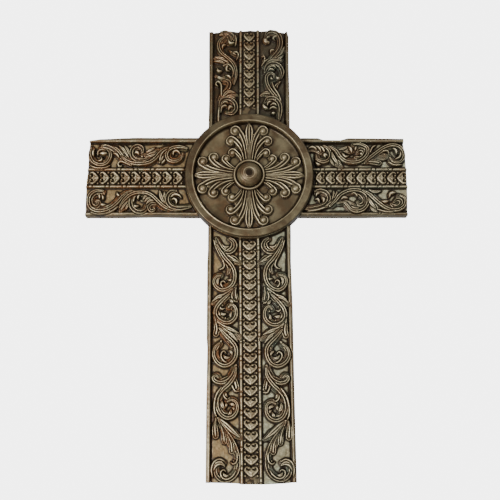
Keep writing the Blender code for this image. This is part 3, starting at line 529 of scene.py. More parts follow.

# %% [markdown]
# The scrolls are acanthus rinceaux: a stem swings from side to side, and at every
# turn it winds into a scroll and throws off leaves, lobes and seed buds. Each row
# below is one strip of clay: its kind, half its width in millimetres, and the line it
# follows. The lines were traced over enlarged crops of the photograph, and
# their points are pixels of it, which the camera puts back on the face.

# %% Strips of the lower arm
LOWER_LEFT = (
    ("fan", 5, (218, 251), (226, 256.5), (233, 260), (240, 263.5)),
    ("fan", 5.5, (236.5, 284), (231, 291.5), (223, 297.5), (213, 303)),
    ("fan", 5.5, (216, 320), (223, 327), (231, 332), (240, 338)),
    ("fan", 4, (236, 366), (233, 374), (227, 380), (218, 382)),
    ("fan", 5, (217.5, 419), (224, 425.5), (231, 431.5), (240, 438)),
    ("fan", 4.5, (219, 421), (226, 433), (231, 443), (236, 455)),
    ("leaf", 1.8, (222, 254), (228, 256.5), (234, 260), (239.5, 262.5)),
    ("leaf", 1.5, (224, 257), (229, 259.5), (233.5, 264)),
    ("rib", 0.8, (218.5, 243.5), (221, 248), (226, 250), (230.3, 248), (231.8, 243.5), (229.5, 241)),
    ("leaf", 1.9, (220, 242.5), (223.5, 247.5), (229.5, 246)),
    ("flute", 1.7, (216, 238), (218.5, 244), (222.5, 250), (228, 252.5), (233, 250.5), (235.5, 246),
     (234, 241), (230, 238)),
    ("rib", 1, (213.8, 240), (216, 247), (219.5, 254), (222.7, 260), (224.4, 265), (223, 268.3),
     (219.3, 269.5)),
    ("flute", 1.3, (225.5, 262), (228.8, 267), (229, 271.5), (227.5, 274)),
    ("leaf", 1.5, (235, 275.5), (232.5, 279.8), (227, 279.6)),
    ("leaf", 1.3, (220.5, 276.5), (217.6, 280.5), (218.3, 287)),
    ("rib", 0.9, (234, 281), (231.5, 285.3), (227, 287.6), (222.8, 287), (220.8, 284.2), (221.8, 281.6),
     (224, 281.2), (225.5, 283.2)),
    ("flute", 1.9, (217, 245), (221, 252), (226, 259), (231, 264.5), (234, 270), (235, 277), (233, 284),
     (228, 288.5), (221.5, 290), (216, 286.8), (213.8, 281.5), (216, 276.8), (220.5, 275.5)),
    ("rib", 1, (233, 291), (231.8, 296), (233.5, 300.5), (237.5, 301.8)),
    ("bud", 1.9, (236, 287), (235.5, 293), (236.5, 299)),
    ("leaf", 2.1, (233, 288), (226, 294.5), (218, 297), (212, 301.5)),
    ("leaf", 1.8, (231, 291.5), (226.5, 296), (222, 301), (222.5, 306)),
    ("rib", 0.9, (225, 298.5), (221, 303), (220, 306.5), (221.8, 309.2), (225, 308)),
    ("leaf", 1.5, (229.5, 299), (232, 302), (231, 304.5)),
    ("leaf", 1.2, (232, 311.5), (230.7, 314), (231, 318.5)),
    ("leaf", 1.3, (219.5, 312.5), (223, 314.3), (227, 313.6)),
    ("leaf", 1.2, (218, 309), (218.5, 313), (221, 316.5)),
    ("lobe", 1.2, (224.5, 317.5), (226.3, 319)),
    ("rib", 0.9, (235, 311), (234.4, 316.3), (230.5, 320), (225, 320.6), (220, 318)),
    ("flute", 1.9, (229, 294), (222, 300.5), (217, 306.5), (215.2, 313), (218, 319), (224, 322.5),
     (230.5, 322), (235.5, 317), (236.3, 310.5), (234.3, 306), (231, 304.6), (228.8, 307)),
    ("lobe", 1, (231.2, 308.2), (231.4, 310)),
    ("bud", 2.6, (214.5, 316), (216, 323), (217, 329), (216, 334)),
    ("leaf", 2, (217, 321), (223, 326.5), (230, 329), (239, 333)),
    ("leaf", 1.8, (219, 325), (226, 331.5), (232, 335), (238, 342)),
    ("leaf", 1.7, (220, 327), (226, 334), (229, 341), (233, 345)),
    ("leaf", 1.6, (222, 340), (218.5, 345), (216.5, 351)),
    ("bud", 1.6, (230.5, 337), (232.3, 343), (231.8, 348)),
    ("leaf", 1.3, (223.3, 354.8), (226, 357.8), (230.5, 356.8)),
    ("leaf", 1.2, (228.5, 350), (231.5, 352.5), (232.6, 356)),
    ("rib", 0.9, (235, 354), (232.5, 359.5), (228, 362.3), (223.8, 361), (221.3, 357), (221.5, 353),
     (224, 351), (226.3, 353.5)),
    ("flute", 1.9, (219.5, 328), (226, 335.5), (232.5, 342), (236, 348), (236, 356), (231.5, 363),
     (224.5, 365.8), (217.5, 362.5), (213.8, 355.5), (215, 347.5), (219.5, 343)),
    ("bud", 2.4, (235.5, 372), (234.5, 379), (236.5, 388)),
    ("rib", 1, (232.5, 377), (231.8, 384), (235, 391), (239.5, 391)),
    ("flute", 1.9, (236, 365), (233.8, 373), (229, 379.5), (222.5, 382.5), (216, 381.5), (213.3, 377.8),
     (216, 375.5), (218.3, 377.6)),
    ("rib", 0.9, (224.3, 390.5), (223.6, 394.5), (225, 398), (228, 399.3), (230, 397.3)),
    ("leaf", 1.1, (225.5, 392), (226.2, 395.5), (228.2, 397)),
    ("leaf", 1.9, (222, 401), (222.2, 405.5), (225.3, 409)),
    ("leaf", 1.2, (226, 402.5), (226.3, 405.5), (225.5, 408)),
    ("leaf", 1.6, (231.3, 409.5), (230, 413.7), (227, 416)),
    ("leaf", 1.3, (229.3, 404), (233, 404.4), (235.3, 407.5)),
    ("leaf", 1.2, (231.5, 407), (234.6, 409.5), (234.3, 413.5)),
    ("rib", 0.9, (219, 400), (219.2, 405), (221.2, 410), (224.3, 413), (228, 413.3)),
    ("flute", 1.9, (236, 368), (234.5, 376), (229, 384), (222.5, 390), (217.8, 397), (217, 406),
     (220.5, 414), (227, 418), (233.5, 416), (237.3, 409.5), (236.3, 402.5), (231.5, 399.8),
     (227.5, 401.5)),
    ("rib", 1.1, (221.5, 387), (216.8, 394), (214.6, 402), (214.6, 411), (217, 418)),
    ("bud", 2.6, (215.8, 418), (215, 426), (215.6, 436)),
    ("leaf", 2.7, (218, 418), (226, 425), (233, 431.5), (240, 437.5)),
    ("flute", 1.5, (219, 420), (224, 429), (230, 437), (235, 446), (238, 456), (238.5, 466), (236, 474),
     (230, 479.5), (222.5, 480.5), (216.5, 475.5), (215.5, 468), (219, 463.2), (224, 463.5)),
    ("bud", 2.2, (220.5, 425), (223.2, 433), (224.4, 442)),
    ("bud", 2.3, (227, 434), (231, 443), (232, 451.5)),
    ("rib", 0.9, (237, 452), (237.3, 458.5), (236, 462.5), (233, 464), (230.7, 462)),
    ("lobe", 1, (233, 460.5), (234.5, 461)),
    ("rib", 0.9, (236, 470.5), (233, 475.5), (228, 479), (223.5, 478.5), (220.8, 475), (221.2, 471.3),
     (224, 469.8), (226, 472)),
    ("leaf", 1.3, (223, 472.5), (225, 475.7), (229.5, 476)),
    ("leaf", 2.6, (213, 470.5), (215.5, 464.5), (220.5, 463), (225, 466)),
    ("rib", 1, (212.5, 477), (211.5, 469), (214, 462), (219.5, 459), (225, 461.5)),
)
print("strips on the lower arm's left side:", len(LOWER_LEFT))

# %% [markdown]
# The upper arm's two sides are traced each on its own, because they differ.

# %% Strips of the upper arm
UPPER_LEFT = (
    ("fan", 4.2, (214, 58), (221, 60), (228, 64), (234.5, 70)),
    ("fan", 3.8, (215, 76), (220.5, 78.5), (226, 79), (231, 79)),
    ("fan", 3.8, (220, 100), (226, 95.5), (231.5, 94), (237, 95)),
    ("leaf", 1.5, (219, 35), (223, 34.5), (227, 36.5)),
    ("flute", 1.6, (221, 31.5), (227, 32.5), (232, 35.5), (234, 40)),
    ("flute", 1.5, (224, 34), (228.5, 36.5), (230, 40.5), (228.5, 44)),
    ("lobe", 2, (228, 39), (230, 43.2), (235, 42.7)),
    ("rib", 1, (235, 35), (236.3, 40), (235.5, 46)),
    ("lobe", 1.6, (226, 37.5), (222, 40), (221.5, 43.5)),
    ("lobe", 1.5, (222.5, 50), (223, 46), (226.5, 44.8)),
    ("bud", 2, (229, 50), (233, 53.5), (236, 55)),
    ("rib", 0.9, (233, 52.5), (237, 52.5), (238.4, 56), (236.3, 60)),
    ("leaf", 2.2, (215, 57), (221, 58.5), (227, 61), (233, 66)),
    ("leaf", 1.6, (214, 61), (220, 61.5), (226, 64)),
    ("flute", 1.8, (225, 36.5), (219.8, 41), (218.6, 47), (221.5, 53), (227, 57.5), (232.5, 62.5),
     (235.6, 69), (236, 77), (234, 84)),
    ("lobe", 1.7, (230, 71), (226.7, 70.5), (227.2, 66.5), (230.5, 66.5)),
    ("rib", 0.9, (223, 66), (228, 64.5), (232, 68), (233.4, 73), (232, 77)),
    ("lobe", 2, (217, 68), (218.5, 71.3), (222, 71.3)),
    ("leaf", 1.7, (215.5, 75), (220, 78.3), (226, 78.5)),
    ("lobe", 1.6, (225, 75), (229, 76.5), (231, 79)),
    ("flute", 1.7, (219, 100), (223.5, 93.5), (228, 88.5), (229.5, 84), (227.5, 80.7), (223.8, 81)),
    ("rib", 1.1, (221.3, 98), (221.5, 91), (221, 84.5), (218, 81.6), (215.8, 84.3), (218, 86.3)),
    ("leaf", 1.9, (222, 98), (228, 92), (235.5, 92.5)),
    ("leaf", 1.5, (223, 99), (230, 96.3), (236, 98.5)),
    ("lobe", 1.5, (220.8, 107), (222.5, 102.7), (226, 101.8), (228.5, 103.5)),
    ("lobe", 1.5, (220.8, 113), (222, 107.5), (225.5, 105.8), (228, 107.5)),
    ("lobe", 2.3, (228.5, 110.5), (230, 107), (233, 107.5)),
    ("flute", 1.7, (219.6, 106), (221.8, 100.5), (226.5, 98.6), (231.5, 99.8), (235.3, 103.8),
     (236, 109), (232.5, 113.4), (226.5, 113.2)),
    ("rib", 1.2, (218.5, 122), (218.6, 114), (219.2, 107)),
)
UPPER_RIGHT = (
    ("fan", 4.2, (284.5, 50), (279.5, 55.5), (274, 59), (268, 61.5)),
    ("fan", 3.8, (282, 61), (275, 62), (269, 64), (263, 67)),
    ("fan", 3.8, (260.5, 95), (267, 94.5), (272.5, 97), (278, 101)),
    ("leaf", 1.8, (284.3, 47), (281, 53), (276, 57), (270, 60.5)),
    ("leaf", 1.5, (280.5, 49), (276.5, 54.5), (272, 58)),
    ("leaf", 1.3, (283.5, 55), (279.5, 58.5), (274, 60)),
    ("lobe", 1.4, (270.8, 54), (271.2, 50.5), (274.8, 50.2)),
    ("lobe", 1.5, (275.5, 41), (273, 38.5), (276.3, 36.4), (279.6, 38.5)),
    ("lobe", 2.6, (270, 37), (266, 38), (265.5, 41.5), (269.5, 42.5)),
    ("flute", 1.7, (270, 59.5), (275.5, 54.5), (279.8, 48.5), (281, 41.5), (278.5, 34.5), (272.5, 31.2),
     (267, 33), (265.3, 38)),
    ("rib", 0.9, (262.5, 61.5), (264.8, 59.3), (263.8, 56.3), (261.3, 57.5)),
    ("rib", 1, (261.5, 66), (264.5, 62), (269, 58.8)),
    ("leaf", 1.6, (282, 60), (276, 60.3), (269.5, 61.5), (264, 67)),
    ("lobe", 1.4, (268, 71.5), (270.5, 69.2), (274.8, 70.5)),
    ("lobe", 1.4, (266.3, 71), (269, 67.2), (273, 65.9), (276.6, 68.5)),
    ("lobe", 2.2, (275.5, 76), (277.5, 78.3), (281, 77.8)),
    ("flute", 1.7, (264.8, 72), (267, 66.5), (271.5, 63.6), (277, 64.3), (281, 67.8), (282.6, 73),
     (281, 78)),
    ("lobe", 1.3, (277, 89), (277.8, 84), (281, 81.5)),
    ("rib", 0.9, (275, 92), (274.8, 87), (278, 83)),
    ("leaf", 2, (261, 94.5), (266, 92.8), (271, 93.5), (276, 98)),
    ("flute", 1.9, (279.5, 100), (274, 94.5), (269, 88), (266.5, 81.5), (267, 76), (270.5, 73.2),
     (274, 74.8), (274, 78.6)),
    ("lobe", 1.3, (274, 79.5), (271.3, 79), (271, 76.8)),
    ("rib", 1, (271.8, 82), (274, 88), (278, 94), (280.7, 101), (281, 109)),
    ("lobe", 2.1, (262.8, 103.5), (264.3, 107), (268, 109)),
    ("lobe", 1.4, (267.3, 106.5), (268.3, 102.5), (272, 101.3)),
    ("lobe", 1.3, (270, 106), (273.5, 103.6), (277.3, 106)),
    ("lobe", 1.3, (269, 109.5), (273, 107.3), (277.5, 109)),
    ("lobe", 1.9, (271, 113.5), (275.5, 113)),
    ("flute", 1.7, (264.6, 102.5), (268, 98.6), (273.5, 98.3), (278, 101.5), (280.4, 107), (280.2, 114),
     (279, 120)),
)
print("strips on the upper arm:", len(UPPER_LEFT) + len(UPPER_RIGHT))

# %% [markdown]
# The left arm's stems run outwards from the ring, above and below the hearts.

# %% Strips of the left arm
LEFT_TOP = (
    ("fan", 4.5, (112, 146.5), (119, 150.5), (125, 156), (131, 162)),
    ("fan", 4.2, (141, 155), (148, 154.5), (153, 152.5), (158, 149.5)),
    ("fan", 3.8, (158, 162), (162.5, 158), (166, 154), (169, 151)),
    ("leaf", 1.5, (119, 145.5), (124, 150), (129, 158)),
    ("leaf", 1.4, (124.5, 145.5), (127.8, 150), (130.5, 157)),
    ("leaf", 1.5, (111, 145.8), (117, 149), (122, 155), (127, 161)),
    ("lobe", 1.7, (95, 148.5), (93, 152.5), (93.5, 156.5)),
    ("lobe", 1.3, (101.5, 156.5), (101.5, 160.3), (97.5, 161)),
    ("lobe", 2.6, (99.5, 153.5), (103, 153.5), (107, 153.3)),
    ("rib", 0.9, (97.8, 155.5), (98.5, 151.5), (102, 149.8), (108, 150.5)),
    ("flute", 1.8, (91, 147.5), (89.6, 154.5), (92.3, 161), (98, 164.5), (105, 164), (109.5, 159.5),
     (110.5, 153.5), (107, 148.8), (101, 147.3)),
    ("rib", 1, (90, 165.5), (96.5, 168), (105, 167.8), (110, 165.5)),
    ("flute", 1.7, (102, 145.8), (109, 147.3), (115.5, 151.3), (120.5, 156.5), (126, 161.3)),
    ("lobe", 1.4, (119.5, 158.5), (117, 154.5), (113, 153)),
    ("leaf", 1.3, (146, 152), (151, 150.3), (155.5, 147)),
    ("leaf", 1.3, (146.5, 154.8), (152, 153.3), (157, 150)),
    ("leaf", 1.3, (145.5, 157.3), (151.5, 156), (157, 153)),
    ("bead", 1.3, (139.8, 148.8)),
    ("bead", 1.2, (142.2, 156.8)),
    ("lobe", 2, (139.5, 155.5), (137.3, 152.3), (134.8, 153.5)),
    ("flute", 1.6, (142.5, 152), (142, 148), (138, 145.9), (133.8, 147.6), (131.4, 152), (132.5, 156.8),
     (137, 159.8), (143, 160), (149, 158)),
    ("flute", 1.9, (122, 157), (128, 161.5), (135, 163.6), (143, 163.7), (150.5, 162), (156, 158),
     (160, 153), (165, 149), (171.5, 147)),
    ("rib", 1, (122, 166), (119.2, 166.3), (118.3, 163.5), (121.2, 161.7), (126, 163.3), (132, 166)),
    ("lobe", 1.7, (165, 155), (161.5, 159), (159.3, 163)),
    ("lobe", 1.4, (167, 158), (164.3, 161), (161.8, 163.8)),
    ("lobe", 1.5, (180.8, 155), (177.5, 151), (173.8, 151.7), (173.2, 155)),
    ("flute", 1.8, (187, 148), (180, 146.8), (173, 147.7), (168, 151), (166.6, 156), (169, 160.3),
     (175, 161.6), (180.5, 159.2), (182.5, 154)),
    ("rib", 1, (160, 161), (161, 155.5), (164, 151.5), (168, 148.8)),
)
LEFT_BOTTOM = (
    ("fan", 4, (132, 197), (128, 202), (124, 206), (120, 211)),
    ("fan", 4.5, (141, 200.5), (147, 199.5), (152, 199), (158, 200.5)),
    ("fan", 4.2, (160, 191), (162.5, 197), (165.5, 202.5), (169, 207.5)),
    ("lobe", 1.5, (98, 193.5), (99.5, 196), (99.8, 199)),
    ("lobe", 1.5, (101.5, 194.5), (103, 197), (103, 200)),
    ("lobe", 1.8, (99.5, 202.5), (102.5, 204.8), (106, 204.8)),
    ("flute", 1.5, (104, 193.5), (98.5, 192.3), (93.5, 194.8), (90.8, 199.5), (91.8, 204.5), (95.5, 207),
     (99, 205.3), (99, 201.5), (95.8, 201)),
    ("leaf", 1.2, (103.5, 207.5), (110, 205.5), (116, 201)),
    ("lobe", 1.3, (116.5, 191.5), (118, 195), (121, 196.3)),
    ("leaf", 1.6, (128.5, 200), (125, 204), (121, 210)),
    ("leaf", 1.5, (130, 203), (127.5, 206), (125.5, 210)),
    ("rib", 1.2, (91, 212), (98, 213.8), (106, 213.3), (113, 210.5), (118.5, 206)),
    ("flute", 1.9, (103, 190.8), (96, 190.8), (90.3, 194.5), (88.3, 201), (90.5, 207.5), (97, 210.9),
     (104.5, 210.3), (112, 207), (118, 201.8), (122.5, 196.5), (128, 192.3), (135, 190.8)),
    ("lobe", 1.5, (136.5, 195.5), (133.8, 198.3), (133.2, 202)),
    ("lobe", 1.4, (141, 194.5), (138.5, 196.5), (138, 199.5)),
    ("lobe", 1.9, (131.8, 203), (134.3, 206.3), (139, 206)),
    ("flute", 1.7, (132.5, 196), (130.6, 201.5), (131.6, 207), (135.6, 211), (141, 212), (145.6, 209.8),
     (147, 205.5)),
    ("leaf", 1.4, (143, 199.5), (146, 196), (151, 195.3)),
    ("leaf", 1.3, (144.5, 201.8), (148, 198.4), (153, 198)),
    ("leaf", 1.3, (146.3, 203.8), (150, 200.6), (155.5, 201)),
    ("flute", 1.3, (157, 204), (151.5, 203.8), (148.8, 207.2), (150.5, 210.8), (154, 210),
     (153.5, 207.3)),
    ("leaf", 2.2, (159.5, 190.8), (161, 196), (163.5, 201.5), (167, 206.3)),
    ("leaf", 1.4, (164.3, 191.5), (164.8, 197), (166.6, 203)),
    ("flute", 1.8, (119.5, 207), (124, 200.5), (129.5, 195.3), (136, 192.7), (143, 192.3), (149.5, 194),
     (155, 198), (160, 203), (166, 207.6), (173.5, 210), (182, 210)),
    ("lobe", 1.6, (181.8, 198.5), (179, 195.3), (174.5, 194.5), (170.6, 197)),
    ("lobe", 1.6, (171, 200), (174, 198.7), (176.5, 200.7), (176, 204)),
    ("flute", 1.7, (176, 190.8), (170.5, 192.3), (167.3, 197), (167.5, 202.3), (171, 206.5),
     (177, 208.3), (184, 208), (191, 206.6)),
)
print("strips on the left arm:", len(LEFT_TOP) + len(LEFT_BOTTOM))

# %% [markdown]
# The right arm is shorter, and its scrolls are not a mirror of the left arm's.

# %% Strips of the right arm
RIGHT_TOP = (
    ("fan", 4.5, (306, 152), (312, 149), (319, 150), (326, 155)),
    ("fan", 4.2, (330.5, 151), (333, 157.5), (337, 163), (342, 167)),
    ("fan", 4, (338, 147.5), (344, 149), (350, 150.5), (356, 150)),
    ("fan", 4.2, (369, 157), (377, 157), (384, 156.5), (390, 156)),
    ("lobe", 1.5, (307, 149.3), (312.5, 147), (317.2, 150)),
    ("lobe", 1.4, (314, 145.8), (318.5, 147.5), (321.3, 152)),
    ("lobe", 1.4, (318.3, 145.6), (322.5, 148.3), (325, 153.5)),
    ("lobe", 1.6, (315, 161.5), (317.5, 164.2), (321, 164.8)),
    ("lobe", 2, (328.5, 156), (324.5, 154.8), (325.5, 157.8)),
    ("flute", 1.8, (323.5, 145.6), (328.6, 149.5), (330.5, 155), (328.3, 160), (323, 162),
     (317.6, 159.8), (316.3, 155.5)),
    ("leaf", 1.9, (332, 152), (333.5, 157.5), (338.5, 165)),
    ("leaf", 1.3, (330, 158), (331.5, 162), (334.5, 166)),
    ("lobe", 1.6, (349.5, 155.5), (345, 156.8), (341.8, 152.8)),
    ("leaf", 1.4, (339, 149.2), (344, 148.5), (348.5, 145.8)),
    ("lobe", 2, (347.5, 146), (350.5, 148.8), (351.8, 153)),
    ("lobe", 1.3, (357, 146), (355.5, 148), (355.3, 151)),
    ("flute", 1.6, (355, 157.5), (360.5, 158.3), (364.3, 154.5), (363.4, 150.3), (359.3, 149.3),
     (357.5, 152)),
    ("bead", 1.4, (361, 154)),
    ("flute", 1.9, (329, 146.3), (335.5, 150.3), (339, 155.5), (343.8, 160.3), (350.5, 162.3),
     (358, 161.8), (364, 158.5), (367.8, 152.8), (366.8, 147.3), (361, 144.3), (354, 144)),
    ("bud", 2.4, (362.5, 163.3), (369, 161.9), (376, 162.3), (379, 162.8)),
    ("lobe", 1.5, (389.2, 154.8), (387.5, 151), (382, 151.5), (376.5, 154.8), (372, 158.5)),
    ("rib", 1, (370, 152.5), (372.3, 147.5), (376, 145.3)),
    ("lobe", 1.7, (392, 148), (395.5, 150), (396.6, 154.5)),
    ("lobe", 1.5, (398.5, 148), (400.6, 152), (399.5, 156.8), (395.5, 159)),
    ("flute", 1.8, (364.5, 163), (370, 157.5), (376.5, 152.5), (383.5, 147.8), (391, 145.2),
     (398.5, 146.3), (403, 151), (403.6, 157.5), (399.5, 162), (393.5, 161.7), (390, 157.5)),
    ("rib", 1, (388, 161.5), (393.5, 165), (402, 164.8)),
)
RIGHT_BOTTOM = (
    ("fan", 4.2, (334, 191), (333.5, 197), (330.5, 202.5), (325, 207)),
    ("fan", 4.2, (366, 192.5), (370.5, 200), (375, 206), (380, 212)),
    ("fan", 3.8, (341, 201), (347, 202), (352, 205.5), (358, 208)),
    ("leaf", 1.3, (333.5, 190.5), (333.8, 196), (331, 203)),
    ("leaf", 1.3, (337, 190.8), (336.2, 195.5), (333.5, 200)),
    ("lobe", 1.6, (316, 197), (317, 193.7), (320.5, 193)),
    ("lobe", 1.3, (314.5, 200), (317.8, 199), (319.8, 203)),
    ("lobe", 2.1, (323, 203), (323.8, 199.5), (321.3, 196.5)),
    ("flute", 1.7, (315.5, 191), (321.3, 190.6), (326.6, 193), (328.9, 198), (327, 203.3),
     (321.5, 206.6), (314, 208.2), (306, 208.8)),
    ("rib", 1.1, (308, 211), (318, 209.7), (326, 207), (333, 203.5), (338, 201.5)),
    ("leaf", 1.5, (325, 206.6), (331.5, 202.6), (336, 197.5)),
    ("lobe", 2, (341, 200), (343.5, 197.3), (347.8, 198.3)),
    ("lobe", 1.9, (347.5, 202.5), (350.5, 206.8), (356, 208.8), (361, 208.3)),
    ("lobe", 1.4, (351, 193), (355.5, 193), (357.5, 196.8)),
    ("flute", 1.5, (356, 192), (361, 194.5), (364.3, 199.5), (362.8, 204), (358.8, 204.8), (357.7, 202)),
    ("flute", 1.9, (330, 206), (335.5, 200.5), (340.5, 194.6), (347.5, 191), (355, 189.9),
     (362.5, 191.6), (367.3, 196.5), (367.8, 203), (364, 208.8), (357.5, 211.2), (351, 209.5),
     (346.8, 204.6), (343.3, 202), (338, 203)),
    ("leaf", 1.8, (368, 197), (371, 203), (376.8, 209.5)),
    ("leaf", 1.4, (370, 206), (373, 210), (378.5, 212)),
    ("leaf", 1.5, (369, 189.6), (375, 192), (382, 190.5)),
    ("lobe", 2.1, (380, 200.5), (384, 202), (388.5, 201)),
    ("lobe", 2, (389, 198), (390.5, 193.5), (395.5, 192.5)),
    ("flute", 1.5, (391, 204), (395.5, 206.8), (400, 205), (401, 201), (397.3, 199.4), (394.3, 202)),
    ("flute", 1.9, (363, 190.3), (369.5, 194.3), (376, 200.5), (383.5, 206.3), (391.5, 209.8),
     (399.5, 209.3), (404.8, 204.8), (405, 198.5), (400.5, 195.3)),
    ("rib", 1, (377, 209), (385, 211.5), (394, 212)),
)
print("strips on the right arm:", len(RIGHT_TOP) + len(RIGHT_BOTTOM))

# %% [markdown]
# The lower arm's right side mirrors its left one, a little stretched. Under every
# stem lies a broad low bed first, which stands for the leaves behind it. The strips
# are laid wider than they were traced: at the traced widths they came out thin
# beside the photograph, so each kind is widened by a listed share.

# %% Carving the panels
LAID_WIDER = {"scroll": 1.3, "flute": 1.25, "fan": 1.0, "bead": 1.0, "rib": 1.2, "leaf": 1.2, "bud": 1.2,
              "lobe": 1.2}
# A stem this broad as traced, in millimetres, gets the scroll's section
BROAD_STEM = 1.79
MIRROR_LINE = (
    # y on the left side, x of the middle line there, and y on the right side
    (238, 249.2, 238), (246, 249.2, 246), (281, 250.2, 280), (312, 250.4, 314.5), (355, 251.6, 355.5),
    (378, 250.8, 378), (409, 251.9, 412), (474, 253, 473.5), (485, 253, 484),
)
BED_WIDTH = 1.55
# How far a bed is drawn in towards the middle of its scroll
BED_PULL = 0.12
BED_TOP = 12.2
BED_MOAT = 0.3
FAN_TOP = 13.4


def mirrored(rows):
    """The rows of the lower arm's left side, turned over to its right side."""
    ys, middles, right_ys = zip(*MIRROR_LINE)

    def turned_over(x, y):
        return 2 * np.interp(y, ys, middles) - x, np.interp(y, ys, right_ys)

    return [(kind, half, *[turned_over(x, y) for x, y in points]) for kind, half, *points in rows]


def as_laid(kind, half):
    """The section and half width that a traced strip is laid with."""
    if kind == "flute" and half >= BROAD_STEM:
        kind = "scroll"
    return kind, round(half * LAID_WIDER[kind], 1)


def carve_panel(rows):
    """Lays the beds of the scrolls first, then every strip in its order."""
    placed = [(*as_laid(kind, half), [on_face(*point) for point in points])
              for kind, half, *points in rows]
    for kind, half, points in placed:
        if kind in ("scroll", "flute"):
            middle = np.mean(points, axis=0)
            bed = [tuple(p + BED_PULL * (middle - p)) for p in np.array(points)]
            lay(face, "bed", half * BED_WIDTH, bed, BED_TOP, moat=BED_MOAT)
    for kind, half, points in placed:
        if kind == "bead":
            bead(face, *points[0], half, SCROLL_TOP)
        else:
            lay(face, kind, half, points, FAN_TOP if kind == "fan" else SCROLL_TOP)


PANELS = (LOWER_LEFT, mirrored(LOWER_LEFT), UPPER_LEFT, UPPER_RIGHT, LEFT_TOP, LEFT_BOTTOM, RIGHT_TOP,
          RIGHT_BOTTOM)
for rows in PANELS:
    carve_panel(rows)
print("strips laid on the panels:", sum(len(rows) for rows in PANELS))

# %% [markdown]
# Where the ring was pressed onto the arms the clay rose beside it in a soft fillet,
# and the ends of the arms are rubbed round. A little unevenness from the hand and
# the mould goes over everything, and a light smoothing takes off the sharpest edges.

# %% Fillet and unevenness
FILLET_HEIGHT = 16.5
FILLET_RUN = 1.8
# Height of the waves, their length in map points, and the seed of their draw
FACE_WAVES = ((0.22, 22, 1), (0.12, 7, 2), (0.05, 2, 3))
FACE_SMOOTHING = 0.45


def soft_noise(shape, cell, seed):
    """Smooth random waves about `cell` map points long, between about -1 and 1."""
    local = np.random.default_rng(seed)
    rows, columns = shape[0] // cell + 3, shape[1] // cell + 3
    coarse = local.uniform(-1.0, 1.0, (rows, columns))
    r = np.arange(shape[0]) / cell
    c = np.arange(shape[1]) / cell
    i, j = r.astype(int), c.astype(int)
    a, b = smoothstep(r - i)[:, None], smoothstep(c - j)[None, :]
    return ((coarse[i][:, j] * (1 - a) + coarse[i + 1][:, j] * a) * (1 - b)
            + (coarse[i][:, j + 1] * (1 - a) + coarse[i + 1][:, j + 1] * a) * b)


def blurred(values, radius):
    """The values averaged over a square window, twice."""
    for _ in range(2):
        for axis in (0, 1):
            padded = np.concatenate([np.repeat(values.take([0], axis), radius + 1, axis), values,
                                     np.repeat(values.take([-1], axis), radius, axis)], axis)
            total = np.cumsum(padded, axis)
            size = 2 * radius + 1
            high = total.take(range(size, total.shape[axis]), axis)
            low = total.take(range(0, total.shape[axis] - size), axis)
            values = (high - low) / size
    return values


def waves(shape, rows):
    """Noise of several sizes added up."""
    return sum(size * soft_noise(shape, cell, seed) for size, cell, seed in rows)


def add_fillet():
    """Lets the clay rise towards the ring."""
    x, z = np.meshgrid(face.x, face.z)
    radius = np.hypot(x, z)
    closeness = np.clip((RING_RADIUS + FILLET_RUN - radius) / FILLET_RUN, 0.0, 1.0)
    fillet = PANEL_FLOOR - 1.0 + (FILLET_HEIGHT - PANEL_FLOOR) * closeness ** 1.6
    face.height[...] = np.maximum(face.height, np.where(radius < RING_RADIUS + FILLET_RUN, fillet, 0.0))


add_fillet()
face.height += waves(face.height.shape, FACE_WAVES)
face.height[...] = (1 - FACE_SMOOTHING) * face.height + FACE_SMOOTHING * blurred(face.height, 1)
print("face heights:", round(face.height.max(), 2))

# %% [markdown]
# The medallion is turned work with carving in it: a ring with a thin bright lip, a
# hollow wall, a smooth field with four palmettes, and a round boss on a stepped
# base. Its map is finer than the arms', because its curves catch the most light.

# %% Ring and rosette
LIP_RADIUS = 56.4
FIELD_RADIUS = 53.0
FIELD_HEIGHT = 13.2
PALMETTE_TOP = 18.0
PALMETTE_MASS = 15.2
PALMETTE_BEDS = (((15.5, 3.5), (24.0, 7.0), (29.0, 13.0)), ((15.5, 2.5), (30.0, 5.5), (42.0, 11.5)))
BED_HALF = 5.0
BED_MOAT_WIDTH = 0.6
FROND_MOAT = 0.5
SPEAR_HALF = 4.3
SPEAR_MOAT = 0.6
# How far the spears and the balls stand over the fronds
SPEAR_RISE = 0.3
BALL_RISE = 0.9
# The turns at which a frond's line goes round its ball
HOOK_TURNS = [math.radians(t) for t in (-55, -10, 35, 80, 125, 170, 215)]
SPEAR = ((15.2, 0.0), (28.0, 0.0), (36.0, 0.0), (44.0, 0.0), (54.0, 0.0))
BUTTON_RADIUS = 4.2
BASE_RADIUS = 15.9
RING_SECTION = (
    # distance from the middle and height: boss, its base, the field, the lip, the ring
    (0.0, 25.3), (3.4, 25.4), (BUTTON_RADIUS, 25.2), (4.6, 24.6), (5.2, 25.3), (6.6, 24.9), (8.2, 24.2),
    (8.7, 23.4), (9.4, 23.2), (10.8, 21.9), (11.9, 19.6), (12.6, 17.2), (13.1, 16.2),
    (13.7, 17.9), (14.4, 18.9),
    (15.1, 18.7), (15.6, 17.4), (BASE_RADIUS, 15.0), (17.0, FIELD_HEIGHT), (51.5, FIELD_HEIGHT), (53.4, 13.4),
    (54.6, 14.8), (55.3, 17.0), (55.8, 19.4), (56.1, 20.3), (LIP_RADIUS, 20.5), (56.7, 20.1), (57.1, 19.8),
    (62.4, 19.8), (63.1, 19.4), (RING_RADIUS, 18.2),
)
